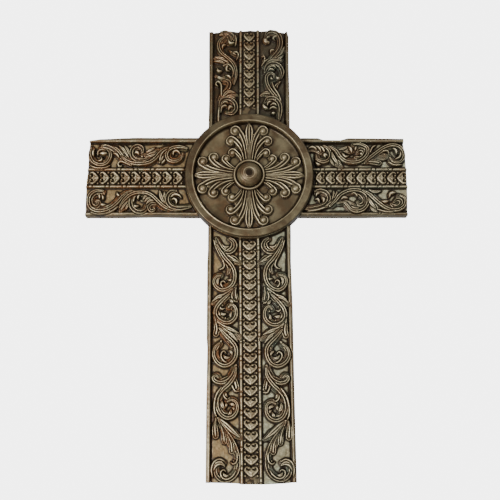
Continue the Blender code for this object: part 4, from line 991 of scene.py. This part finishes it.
FRONDS = (
    # out from the boss and beside the axis: the frond's line, the middle of the ball
    # that it curls round, the ball's radius, and half the frond's width
    (((14.6, 6.8), (17.6, 8.4), (20.8, 10.8), (23.8, 13.6)), (22.8, 16.8), 2.9, 3.0),
    (((15.0, 4.4), (22.0, 5.6), (28.0, 8.0), (32.8, 11.2), (36.4, 14.6)), (35.2, 18.2), 3.4, 3.7),
    (((15.0, 2.0), (24.0, 2.9), (33.0, 4.4), (40.0, 6.8), (45.8, 10.0)), (46.2, 14.0), 3.5, 3.8),
)

MEDALLION_SPAN = 64.5
MEDALLION_STEP = 0.25
MEDALLION_WAVES = ((0.1, 26, 4), (0.05, 8, 5))
MEDALLION_SMOOTHING = 0.5

medallion = ReliefMap(-MEDALLION_SPAN, MEDALLION_SPAN, -MEDALLION_SPAN, MEDALLION_SPAN, MEDALLION_STEP)
medallion_x, medallion_z = np.meshgrid(medallion.x, medallion.z)
from_middle = np.hypot(medallion_x, medallion_z)


def turned_work(radius):
    """The height that the turned work has at a distance from the middle."""
    stops, levels = zip(*RING_SECTION)
    return np.interp(radius, stops, levels)


def turned(points, angle, side):
    """Points given out along and beside a palmette's axis, put in their quarter."""
    out = np.array((math.cos(angle), math.sin(angle)))
    beside = np.array((-out[1], out[0])) * side
    return np.array([out * a + beside * b for a, b in points])


def palmette(angle):
    """A pointed rib with three fluted fronds on each side that curl round balls."""
    for side in (-1, 1):
        # A low mass under the fronds, so that no field shows between them
        for line in PALMETTE_BEDS:
            lay(medallion, "lobe", BED_HALF, turned(line, angle, side), PALMETTE_MASS, FIELD_HEIGHT,
                BED_MOAT_WIDTH)
        for line, ball, radius, half in FRONDS:
            hook = [(ball[0] + radius * math.cos(t), ball[1] + radius * math.sin(t)) for t in HOOK_TURNS]
            lay(medallion, "frond", half, turned(list(line) + hook, angle, side), PALMETTE_TOP,
                FIELD_HEIGHT, FROND_MOAT)
            middle = turned([ball], angle, side)[0]
            bead(medallion, middle[0], middle[1], radius, PALMETTE_TOP + BALL_RISE)
    lay(medallion, "spear", SPEAR_HALF, turned(SPEAR, angle, 1), PALMETTE_TOP + SPEAR_RISE, FIELD_HEIGHT,
        SPEAR_MOAT)


medallion.height[...] = turned_work(from_middle)
for quarter in range(4):
    palmette(quarter * math.pi / 2)
# The fronds are cut off at the boss's base, where the real ones butt against it
medallion.height[...] = np.where(from_middle < BASE_RADIUS, turned_work(from_middle), medallion.height)
medallion.height += waves(medallion.height.shape, MEDALLION_WAVES)
smooth = blurred(medallion.height, 1)
medallion.height[...] = (1 - MEDALLION_SMOOTHING) * medallion.height + MEDALLION_SMOOTHING * smooth
print("medallion heights:", round(medallion.height.min(), 2), "to", round(medallion.height.max(), 2))

# %% [markdown]
# Antique bronze is two coats: a dark glaze is brushed on and wiped off, so it
# stays in the hollows, and the high places are then rubbed with a lighter metal
# wax. Both follow the shape, so they are worked out from the height map: a place
# lower than its surroundings holds glaze, and one that is higher is rubbed. The marks
# are hollow (glaze, with painted shade added to it below), crest (wax, with painted light added below),
# ground (level floor, which is glazed all over), one for the open floor (a tan and sage tint with painted
# reflection) and even (one calm colour instead of patches).

# %% Marks of glaze and wax
# How far round a place its surroundings are looked at, in millimetres
NEAR = 0.5
WIDE = 1.6
SUMMIT_REACH = 0.9
GROUND_REACH = 0.6
BARE_REACH = 1.1
# A place within this distance of the floor counts as floor
FLOOR_SLACK = 0.55
FULL_CREST = 1.1


def highest_near(height, reach):
    """The highest value within a square window round each place."""
    for axis in (0, 1):
        best = height.copy()
        for shift in range(-reach, reach + 1):
            best = np.maximum(best, np.roll(height, shift, axis))
        height = best
    return height


def finish_marks(relief, floor):
    """How much glaze, wax and open ground each place of a map has."""
    step = relief.step
    height = relief.height
    near = blurred(height, max(1, round(NEAR / step)))
    wide = blurred(height, max(1, round(WIDE / step)))
    hollow = np.clip((wide - height - 0.3) / 1.0, 0.0, 1.0)
    hollow = np.maximum(hollow, np.clip((near - height) / 0.38, 0.0, 1.0))
    summit = blurred(highest_near(height, round(SUMMIT_REACH / step)), 1)
    crest = FULL_CREST * np.clip(1.0 - (summit - height) / 0.6, 0.0, 1.0)
    crest *= smoothstep((height - floor - 1.9) / 1.7)
    crest *= np.clip((height - near - 0.02) / 0.07, 0.0, 1.0)
    low = (np.abs(height - floor) < FLOOR_SLACK).astype(float)
    ground = smoothstep((blurred(low, max(1, round(GROUND_REACH / step))) - 0.3) / 0.5)
    open_ground = smoothstep((blurred(low, max(1, round(BARE_REACH / step))) - 0.8) / 0.18)
    return {"hollow": hollow, "crest": crest, "ground": ground, "bare": open_ground}


print("marks:", ", ".join(finish_marks(medallion, FIELD_HEIGHT)))

# %% [markdown]
# A hand that rubs the casting doesn't reach every part alike. Rims, hearts and rods
# have flat tops, which take a thin even coat, and their edges keep less wax than the
# scrolls'. Painted light makes the upper arm darker than the lower one, and the painted
# reflection on its open floor fades out. All of these shares were set against the photograph.

# %% Rubbing by hand, with painted light and shade
PANEL, RIM, HEART, ROD = range(4)
# Wax that the edges keep, and the evenness of the colour, for each of these zones
KEEPS = np.array((1.0, 0.25, 0.8, 0.7))
EVEN = np.array((0.0, 0.75, 0.8, 0.0))
HEART_RUB = {"foot": 0.14, "top": 0.04, "left": 0.03, "right": 0.03}
ROD_RUB = {"foot": 0.2, "top": 0.05, "left": 0.08, "right": 0.08}
RIM_RUB = 0.03
RIDGE_RUB = 0.3
ROD_SPARE = 0.3
RIM_SPARE = 1.05
# Wax along the height, which also paints the light that is stronger on the lower arm, as shares of the way
# from the foot to the top
FOOT_Z = -300.0
TOP_Z = 160.0
WAX_LIGHT_STOPS = (0.0, 0.15, 0.25, 0.45, 0.55, 0.74, 0.8, 1.0)
WAX_LIGHT_SHARES = (0.82, 0.86, 1.0, 1.0, 0.76, 0.76, 0.55, 0.42)
# The painted reflection on the open floor fades out between these heights
SHEEN_Z = (42.0, 65.0)
SHEEN_SHARES = (1.0, 0.12)
# Painted shade on the rims of the upper arm above this height, laid into the glaze mark
UPPER_RIMS_Z = 50.0
UPPER_RIMS_SHADE = 0.4


def rubbed_flats():
    """The wax on the tops of hearts, rods and rims, and the zone of each place."""
    x, z = np.meshgrid(face.x, face.z)
    flats = np.zeros(face.height.shape)
    zone = np.full(face.height.shape, PANEL)
    for arm in arms.values():
        u, v = arm.local(x, z)
        on_arm = (u > ARM_START) & (np.abs(v) < ARM_SPAN)
        across = np.abs(v - arm.shift)
        hearts = across < STRIP_WIDTH / 2
        rods = (across >= STRIP_WIDTH / 2) & (across < STRIP_WIDTH / 2 + ROD_WIDTH + ROD_SPARE)
        share = (arm.half_width(u) - np.abs(v)) / (RIM_WIDTH - np.sign(v) * arm.shift * 0.5)
        ridge = np.exp(-((share - RIDGE_SHARE) / RIDGE_SPREAD) ** 2)
        on_rim = share < RIM_SPARE
        rim = on_rim * (RIM_RUB + RIDGE_RUB * ridge)
        middle = HEART_RUB[arm.name] * hearts + ROD_RUB[arm.name] * rods
        flats = np.maximum(flats, on_arm * (middle + rim))
        zone[on_arm & on_rim] = RIM
        zone[on_arm & hearts] = HEART
        zone[on_arm & rods] = ROD
    return flats * smoothstep((face.height - STRIP_FLOOR - 1.0) / 1.4), zone


def wax_and_light_by_height(relief):
    """Painted light: the wax is brighter towards the foot, as the lower arm is lit more than the upper one.
    """
    share = (relief.z - FOOT_Z) / (TOP_Z - FOOT_Z)
    return np.interp(share, WAX_LIGHT_STOPS, WAX_LIGHT_SHARES)[:, None]


face_marks = finish_marks(face, PANEL_FLOOR)
flats, zone = rubbed_flats()
# The crest mark also carries painted light here, brighter towards the foot
face_marks["crest"] = np.maximum(face_marks["crest"] * KEEPS[zone], flats) * wax_and_light_by_height(face)
# Painted reflection on the open floor, faded out towards the top
face_marks["bare"] = face_marks["bare"] * np.interp(face.z, SHEEN_Z, SHEEN_SHARES)[:, None]
face_marks["even"] = EVEN[zone]
# Painted shade darkens the upper arm's rims
upper_rims = (zone == RIM) & (face.z > UPPER_RIMS_Z)[:, None]
rim_painted_shade = np.maximum(face_marks["hollow"], UPPER_RIMS_SHADE)
face_marks["hollow"] = np.where(upper_rims, rim_painted_shade, face_marks["hollow"])
print("share with glaze:", round(float((face_marks["hollow"] > 0.5).mean()), 3))

# %% [markdown]
# The medallion is calmer than the arms. The turned work keeps little wax, the ring's
# flat face none, and the balls keep less than the ridges round them. The boss's
# button is black. The ring's face gets painted shade, darker on its left and upper side.

# %% Finish of the medallion
BALL_COVER = 0.7
BUTTON_GLAZE = 0.9
# The glaze round the rosette is made stronger, which also paints the shadow under the palmettes
MEDALLION_GLAZE_AND_SHADOW = 1.35
TURNED_KEEPS = 0.35
# The painted shade on the ring's face at its middle, what it loses to the right, and gains upwards
RING_SHADE = 0.24
RING_SHADE_ACROSS = 0.25
RING_SHADE_UP = 0.13


def ball_tops():
    """The tops of the rosette's balls, which are rubbed less than its ridges."""
    cover = np.zeros(medallion.height.shape)
    for quarter in range(4):
        for side in (-1, 1):
            for _, ball, radius, _ in FRONDS:
                middle = turned([ball], quarter * math.pi / 2, side)[0]
                gap = np.hypot(medallion_x - middle[0], medallion_z - middle[1])
                cover = np.maximum(cover, BALL_COVER * smoothstep((0.9 * radius - gap) / 0.5))
    return cover


medallion_marks = finish_marks(medallion, FIELD_HEIGHT)
medallion_marks["ground"] = np.zeros(medallion.height.shape)
medallion_marks["bare"] = np.zeros(medallion.height.shape)
button = smoothstep((BUTTON_RADIUS - from_middle) / 0.6)
# Glaze with painted shadow along the palmettes
glaze_and_shadow = np.clip(MEDALLION_GLAZE_AND_SHADOW * medallion_marks["hollow"], 0.0, 1.0)
medallion_marks["hollow"] = np.maximum(glaze_and_shadow, BUTTON_GLAZE * button)
ring_face = smoothstep((from_middle - LIP_RADIUS - 0.4) / 0.6)
on_turned_work = (from_middle < BASE_RADIUS + 0.5) | (from_middle > FIELD_RADIUS)
medallion_marks["crest"] *= np.where(on_turned_work, TURNED_KEEPS, 1.0) * (1.0 - ring_face)
medallion_marks["crest"] *= 1.0 - ball_tops()
# Painted shade on the ring's flat face, laid into the glaze mark: darker to the left and upwards
painted_ring_shade = RING_SHADE - RING_SHADE_ACROSS * medallion_x / RING_RADIUS + RING_SHADE_UP * medallion_z / RING_RADIUS
medallion_marks["hollow"] = np.maximum(medallion_marks["hollow"], ring_face * painted_ring_shade)
medallion_marks["even"] = np.ones(medallion.height.shape)
print("medallion's share with glaze:", round(float((medallion_marks["hollow"] > 0.5).mean()), 3))

# %% [markdown]
# Each piece of the casting becomes a closed mesh: the carved front as a fine grid,
# plain walls round it, and a flat back. The arms' grids follow the worn outline,
# so their edges are as ragged as the real ones. The grid points carry the marks
# of the finish for the material to read.

# %% Shells, walls and backs
def carved_shell(grid_x, grid_z, heights, wrap):
    """The carved front of a piece, the walls round it, and the back's corners."""
    rows, columns = heights.shape
    count = rows * columns
    front = np.column_stack([grid_x.ravel(), -heights.ravel(), grid_z.ravel()]) * MM
    index = np.arange(count).reshape(rows, columns)
    if wrap:
        index = np.hstack([index, index[:, :1]])
    faces = np.stack([index[:-1, :-1], index[:-1, 1:], index[1:, 1:], index[1:, :-1]], -1).reshape(-1, 4)
    if wrap:
        border = index[-1, :-1]
    else:
        border = np.concatenate([index[0, :-1], index[:-1, -1], index[-1, :0:-1], index[:0:-1, 0]])
    back = front[border].copy()
    back[:, 1] = 0.0
    back_index = count + np.arange(len(border))
    walls = np.column_stack([border, back_index, np.roll(back_index, -1), np.roll(border, -1)])
    return front, faces, back, back_index, walls


# The recess in the back that a nail or screw head goes into, as in the solid
HANGER_WIDTH = 13.0
HANGER_LENGTH = 22.0
HANGER_DEPTH = 7.0
HANGER_MIDDLE = 113.6
HALF_ROUND_POINTS = 13
CORNER_SLACK = 1e-4


def hanger_outline():
    """The recess's outline: straight sides with a half round at each end."""
    radius = HANGER_WIDTH / 2
    straight = HANGER_LENGTH / 2 - radius
    turns = np.linspace(0.0, math.pi, HALF_ROUND_POINTS)
    upper = np.column_stack([radius * np.cos(turns), HANGER_MIDDLE + straight + radius * np.sin(turns)])
    lower = np.column_stack([-radius * np.cos(turns), HANGER_MIDDLE - straight - radius * np.sin(turns)])
    return np.vstack([upper, lower])


def recessed_back(back, back_index, total):
    """A flat back with the recess in it: the new corners, and all its polygons."""
    slot = hanger_outline()
    outline = np.array(back[:, (0, 2)]) / MM
    loop = [Vector((x, z)) for x, z in outline] + [Vector(p) for p in slot]
    n, m = len(back), len(slot)
    edges = [(i, (i + 1) % n) for i in range(n)] + [(n + i, n + (i + 1) % m) for i in range(m)]
    places, _, triangles, origin, _, _ = delaunay_2d_cdt(loop, edges, [], 0, CORNER_SLACK)
    middles = np.array([np.mean([places[i] for i in t], axis=0) for t in triangles])
    in_outline = inside(middles[:, 0], middles[:, 1], outline)
    in_slot = inside(middles[:, 0], middles[:, 1], slot)
    source = [ids[0] for ids in origin]
    corner_of = {i: (back_index[i] if i < n else total + i - n) for i in range(n + m)}
    polygons = [tuple(int(corner_of[source[i]]) for i in triangle)
                for triangle, good in zip(triangles, in_outline & ~in_slot) if good]
    for i in range(m):
        j = (i + 1) % m
        polygons.append((total + i, total + j, total + m + j, total + m + i))
    polygons.append(tuple(total + m + i for i in range(m)))
    mouth = np.column_stack([slot[:, 0], np.zeros(m), slot[:, 1]]) * MM
    bottom = mouth - np.array((0.0, HANGER_DEPTH * MM, 0.0))
    return [mouth, bottom], polygons


def add_piece(name, grid_x, grid_z, heights, marks, wrap=False, recess=False):
    """Makes one closed piece with its marks, puts it under the root body and hides the solid cross."""
    front, faces, back, back_index, walls = carved_shell(grid_x, grid_z, heights, wrap)
    corners = [front, back]
    polygons = [tuple(f) for f in faces.tolist()] + [tuple(f) for f in walls.tolist()]
    if recess:
        more_corners, more_polygons = recessed_back(back, back_index, len(front) + len(back))
        corners += more_corners
        polygons += more_polygons
    else:
        polygons.append(tuple(int(i) for i in back_index[::-1]))
    mesh = bpy.data.meshes.new(name)
    mesh.from_pydata(np.vstack(corners).tolist(), [], polygons)
    mesh.validate()
    for key, values in marks.items():
        layer = mesh.attributes.new(key, "FLOAT", "POINT")
        # Walls and backs have no marks, only the even colour
        filled = np.full(len(mesh.vertices), 1.0 if key == "even" else 0.0)
        filled[: len(front)] = values.ravel()
        layer.data.foreach_set("value", filled)
    mesh.update()
    obj = bpy.data.objects.new(name, mesh)
    bpy.context.scene.collection.objects.link(obj)
    smooth_shading(mesh, len(faces))
    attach(obj, "root")
    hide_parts("cross")
    print(name, "faces:", len(mesh.polygons))
    return obj


def smooth_shading(mesh, front_faces):
    """Front faces are smooth; the edges where they meet the walls stay crisp."""
    work = bmesh.new()
    work.from_mesh(mesh)
    bmesh.ops.recalc_face_normals(work, faces=work.faces)
    for polygon in work.faces:
        polygon.smooth = polygon.index < front_faces
    for edge in work.edges:
        if len(edge.link_faces) == 2:
            a, b = edge.link_faces
            edge.smooth = a.smooth and b.smooth
    work.to_mesh(mesh)
    work.free()


print("recess corners:", len(hanger_outline()))

# %% [markdown]
# Four arms and the medallion make up the casting. An arm's grid starts on a curve
# just inside the ring's edge and ends on its worn end. The medallion's grid runs in
# circles, with more of them where its section turns sharply.

# %% The five pieces
RING_OVERLAP = 0.15
LOWEST_EDGE = 6.0
# Distances from the middle between which circles are spaced evenly, and their count
CIRCLES = ((0.6, 17.0, 44), (17.4, 55.0, 88), (55.2, 63.6, 26))
CIRCLE_POINTS = 600


def arm_piece(name, arm, rows, columns):
    """One arm as a grid of rows along it and columns across it."""
    across = np.linspace(-1.0, 1.0, columns)[None, :] * np.ones((rows, 1))
    along = np.linspace(0.0, 1.0, rows)[:, None] * np.ones((1, columns))
    v = across * arm.half
    inner = RING_RADIUS - RING_OVERLAP
    u = np.sqrt(inner ** 2 - v ** 2)
    u = u + (arm.worn_reach(across) - u) * along
    half = np.where(across > 0, arm.worn_half(u, 1), arm.worn_half(u, -1))
    v = across * half
    x, z = arm.place(u, v)
    heights = face.sample(face.height, x, z)
    edge = np.minimum(half * (1 - np.abs(across)), (arm.worn_reach(across) - u))
    past_edge = np.clip(EDGE_ROUNDING - edge, 0, None)
    rounding = EDGE_ROUNDING - np.sqrt(np.clip(EDGE_ROUNDING ** 2 - past_edge ** 2, 0, None))
    heights = np.minimum(heights, np.maximum(heights - rounding, LOWEST_EDGE))
    marks = {key: face.sample(values, x, z) for key, values in face_marks.items()}
    return add_piece(name, x, z, heights, marks, recess=(arm.name == "top"))


def medallion_piece():
    """The ring and rosette as a grid of circles."""
    radii = np.concatenate([np.linspace(*circles) for circles in CIRCLES])
    turns = np.linspace(0.0, 2 * math.pi, CIRCLE_POINTS, endpoint=False)
    radius, turn = np.meshgrid(radii, turns, indexing="ij")
    x, z = radius * np.cos(turn), radius * np.sin(turn)
    heights = medallion.sample(medallion.height, x, z)
    marks = {key: medallion.sample(values, x, z) for key, values in medallion_marks.items()}
    return add_piece("ring_and_rosette", x, z, heights, marks, wrap=True)


pieces = [
    arm_piece("lower_arm", arms["foot"], 500, 186),
    arm_piece("upper_arm", arms["top"], 250, 208),
    arm_piece("left_arm", arms["left"], 262, 204),
    arm_piece("right_arm", arms["right"], 250, 204),
    medallion_piece(),
]

# %% [markdown]
# The material reads those marks. The body is brown bronze with coppery and olive
# patches, and greener on the right. The glaze is almost black, the wax is pale gold,
# and the open floor between the scrolls gets a painted reflection, tinted tan or sage. Noise of three sizes
# breaks them up. Gloss is the same all over, so it is set on the shader's sockets.

# %% Antique bronze
GLAZE = (0.012, 0.006, 0.002, 1.0)
COPPER = (0.135, 0.056, 0.018, 1.0)
BRONZE = (0.070, 0.046, 0.022, 1.0)
PALE_BRONZE = (0.175, 0.138, 0.074, 1.0)
OLIVE = (0.075, 0.060, 0.026, 1.0)
VERDIGRIS = (0.060, 0.070, 0.050, 1.0)
WAX = (0.80, 0.67, 0.42, 1.0)
TAN = (0.29, 0.20, 0.095, 1.0)
SAGE = (0.40, 0.43, 0.30, 1.0)
GROUND_GLAZE = 0.86
# From this place to that place across, the share of green goes from this to that
GREEN_SIDE = (-0.02, 0.02, -0.3, 0.5)
EVENNESS = 0.8
METALLIC = 0.5
ROUGHNESS = 0.4
SPECULAR = 0.3
# Scale, detail, and the span of noise that is stretched from 0 to 1
CLOUDS = (52.0, 3.0, 0.40, 0.62)
BLOTCHES = (120.0, 2.0, 0.42, 0.6)
FLECKS = (420.0, 2.0, 0.35, 0.7)
NOISE_ROUGHNESS = 0.6
# How strongly the side and the clouds turn the metal green
GREEN_BY_SIDE = 0.8
GREEN_BY_CLOUDS = 0.55
# How strongly the floor's painted reflection is turned to sage, copper and olive
SHEEN_SAGE = 0.6
SHEEN_COPPER = 0.3
SHEEN_OLIVE = 0.6
# The wax is this strong between the blotches, and gains this on them
WAX_BASE = 0.68
WAX_BLOTCHES = 0.35
GRAIN_SCALE = 900.0
GRAIN_DETAIL = 3.0
GRAIN_STRENGTH = 0.15
GRAIN_DEPTH = 0.0002


def node(tree, kind, place, **values):
    """Adds a node and sets its sockets or its settings by name."""
    made = tree.nodes.new(kind)
    made.location = place
    for key, value in values.items():
        if key in made.inputs.keys():
            made.inputs[key].default_value = value
        else:
            setattr(made, key, value)
    return made


def mixed(tree, factor, first, second, place):
    """Mixes two colours; each input is a socket or a plain value."""
    made = tree.nodes.new("ShaderNodeMix")
    made.data_type = "RGBA"
    made.location = place
    for key, value in (("Factor", factor), ("A", first), ("B", second)):
        socket = made.inputs[key]
        if isinstance(value, bpy.types.NodeSocket):
            tree.links.new(value, socket)
        else:
            socket.default_value = value
    return made.outputs["Result"]


def maths(tree, operation, first, second, place, clamp=False):
    """One sum on two inputs, each of them a socket or a plain value."""
    made = tree.nodes.new("ShaderNodeMath")
    made.operation = operation
    made.use_clamp = clamp
    made.location = place
    for socket, value in zip(made.inputs, (first, second)):
        if isinstance(value, bpy.types.NodeSocket):
            tree.links.new(value, socket)
        else:
            socket.default_value = value
    return made.outputs[0]


def bronze_material():
    """Body colour first, then a tan and sage tint with painted reflection on the open floor, wax on the
    crests, and glaze with some painted shade in the hollows.
    """
    material = bpy.data.materials.new("antique_bronze")
    material.use_nodes = True
    tree = material.node_tree
    shader = tree.nodes["Principled BSDF"]
    read = {}
    for i, key in enumerate(("hollow", "crest", "ground", "bare", "even")):
        mark = node(tree, "ShaderNodeAttribute", (-1400, 300 - 200 * i), attribute_name=key)
        read[key] = mark.outputs["Fac"]
    coords = node(tree, "ShaderNodeTexCoord", (-2100, -500)).outputs["Object"]

    def spread(scale, detail, low, high, place):
        """Noise of one size, stretched so that most of it is near 0 or 1."""
        noise = node(tree, "ShaderNodeTexNoise", place, Scale=scale, Detail=detail, Roughness=NOISE_ROUGHNESS)
        tree.links.new(coords, noise.inputs["Vector"])
        ramp = node(tree, "ShaderNodeMapRange", (place[0] + 180, place[1]))
        ramp.inputs["From Min"].default_value = low
        ramp.inputs["From Max"].default_value = high
        tree.links.new(noise.outputs["Fac"], ramp.inputs["Value"])
        return ramp.outputs["Result"]

    clouds = spread(*CLOUDS, (-1800, -300))
    blotches = spread(*BLOTCHES, (-1800, -600))
    flecks = spread(*FLECKS, (-1800, -900))
    split = node(tree, "ShaderNodeSeparateXYZ", (-1800, -1200))
    tree.links.new(coords, split.inputs["Vector"])
    side = node(tree, "ShaderNodeMapRange", (-1600, -1200))
    for name, value in zip(("From Min", "From Max", "To Min", "To Max"), GREEN_SIDE):
        side.inputs[name].default_value = value
    tree.links.new(split.outputs["X"], side.inputs["Value"])
    green = maths(tree, "MULTIPLY_ADD", side.outputs["Result"], GREEN_BY_SIDE, (-1400, -1100), True)
    by_clouds = maths(tree, "MULTIPLY", clouds, GREEN_BY_CLOUDS, (-1600, -1050))
    tree.links.new(by_clouds, green.node.inputs[2])
    metal = mixed(tree, blotches, COPPER, OLIVE, (-1300, 300))
    metal = mixed(tree, green, metal, VERDIGRIS, (-1100, 300))
    calm = maths(tree, "MULTIPLY", read["even"], EVENNESS, (-1100, 500))
    plain = mixed(tree, clouds, BRONZE, PALE_BRONZE, (-1300, 100))
    metal = mixed(tree, calm, metal, plain, (-950, 400))
    patchy = maths(tree, "MULTIPLY_ADD", clouds, SHEEN_SAGE, (-1300, -200), True)
    tree.links.new(side.outputs["Result"], patchy.node.inputs[2])
    sheen_colour = mixed(tree, patchy, TAN, SAGE, (-1100, 0))
    coppery = maths(tree, "MULTIPLY", blotches, SHEEN_COPPER, (-1250, -50))
    sheen_colour = mixed(tree, coppery, sheen_colour, COPPER, (-1000, 0))
    olive = maths(tree, "MULTIPLY", flecks, SHEEN_OLIVE, (-1100, -150))
    sheen_colour = mixed(tree, olive, sheen_colour, OLIVE, (-900, 0))
    glazed = maths(tree, "MULTIPLY", read["ground"], GROUND_GLAZE, (-950, 500), True)
    colour = mixed(tree, glazed, metal, GLAZE, (-750, 300))
    # Painted reflection of the bright surround on the open floor, tinted tan and sage
    colour = mixed(tree, read["bare"], colour, sheen_colour, (-600, 300))
    uneven = maths(tree, "MULTIPLY_ADD", blotches, WAX_BLOTCHES, (-950, 700))
    uneven.node.inputs[2].default_value = WAX_BASE
    rubbed = maths(tree, "MULTIPLY", read["crest"], uneven, (-750, 600), True)
    colour = mixed(tree, rubbed, colour, WAX, (-400, 300))
    colour = mixed(tree, read["hollow"], colour, GLAZE, (-200, 300))
    grain = node(tree, "ShaderNodeTexNoise", (-700, -300), Scale=GRAIN_SCALE, Detail=GRAIN_DETAIL)
    tree.links.new(coords, grain.inputs["Vector"])
    tree.links.new(colour, shader.inputs["Base Color"])
    shader.inputs["Metallic"].default_value = METALLIC
    shader.inputs["Roughness"].default_value = ROUGHNESS
    shader.inputs["Specular IOR Level"].default_value = SPECULAR
    bump = node(tree, "ShaderNodeBump", (-300, -300), Strength=GRAIN_STRENGTH, Distance=GRAIN_DEPTH)
    tree.links.new(grain.outputs["Fac"], bump.inputs["Height"])
    tree.links.new(bump.outputs["Normal"], shader.inputs["Normal"])
    return material


bronze = bronze_material()
for piece in pieces:
    piece.data.materials.append(bronze)
print("nodes in the material:", len(bronze.node_tree.nodes))

# %% [markdown]
# A pale floor and soft studio light: one broad lamp low on the left, a weaker one
# high on the right, and an even surround, as for a catalogue photograph. The camera
# sees the surround brighter than it lights the cross, for a pale backdrop.

# %% Floor and light
FLOOR_HALF = 2.0
FLOOR_Z = -0.62
FLOOR_COLOUR = (0.85, 0.85, 0.85, 1.0)
FLOOR_ROUGHNESS = 0.9
LAMP_TARGET = (0.0, 0.0, -0.05)
LAMPS = (
    # name, place in metres, width in metres, power in watts
    ("key", (-0.75, -1.05, -0.45), 0.5, 26.0),
    ("fill", (0.9, -1.2, 0.7), 0.9, 9.0),
)
SURROUND_LIGHT = 0.45
BACKDROP_LIGHT = 5.0


def lay_floor():
    """A plain pale floor under the cross, kept out of the part."""
    mesh = bpy.data.meshes.new("floor")
    corners = [(FLOOR_HALF * x, FLOOR_HALF * y, 0.0) for x, y in ((-1, -1), (1, -1), (1, 1), (-1, 1))]
    mesh.from_pydata(corners, [], [(0, 1, 2, 3)])
    floor = bpy.data.objects.new("floor", mesh)
    floor.location = (0.0, 0.0, FLOOR_Z)
    bpy.context.scene.collection.objects.link(floor)
    material = bpy.data.materials.new("pale_floor")
    material.use_nodes = True
    shader = material.node_tree.nodes["Principled BSDF"]
    shader.inputs["Base Color"].default_value = FLOOR_COLOUR
    shader.inputs["Roughness"].default_value = FLOOR_ROUGHNESS
    mesh.materials.append(material)


def lamp(name, place, size, power):
    """A round soft lamp that looks at the cross."""
    data = bpy.data.lights.new(name, "AREA")
    data.shape = "DISK"
    data.size = size
    data.energy = power
    light = bpy.data.objects.new(name, data)
    bpy.context.scene.collection.objects.link(light)
    aimed(light, place, LAMP_TARGET)


def surround():
    """A white world that is brighter to the camera than to the cross."""
    world = bpy.data.worlds.new("surround")
    world.use_nodes = True
    tree = world.node_tree
    background = tree.nodes["Background"]
    background.inputs["Color"].default_value = (1.0, 1.0, 1.0, 1.0)
    paths = tree.nodes.new("ShaderNodeLightPath")
    bright = tree.nodes.new("ShaderNodeMath")
    bright.operation = "MULTIPLY_ADD"
    bright.inputs[1].default_value = BACKDROP_LIGHT - SURROUND_LIGHT
    bright.inputs[2].default_value = SURROUND_LIGHT
    tree.links.new(paths.outputs["Is Camera Ray"], bright.inputs[0])
    tree.links.new(bright.outputs[0], background.inputs["Strength"])
    bpy.context.scene.world = world


lay_floor()
for facts in LAMPS:
    lamp(*facts)
surround()
print("lamps:", ", ".join(facts[0] for facts in LAMPS))
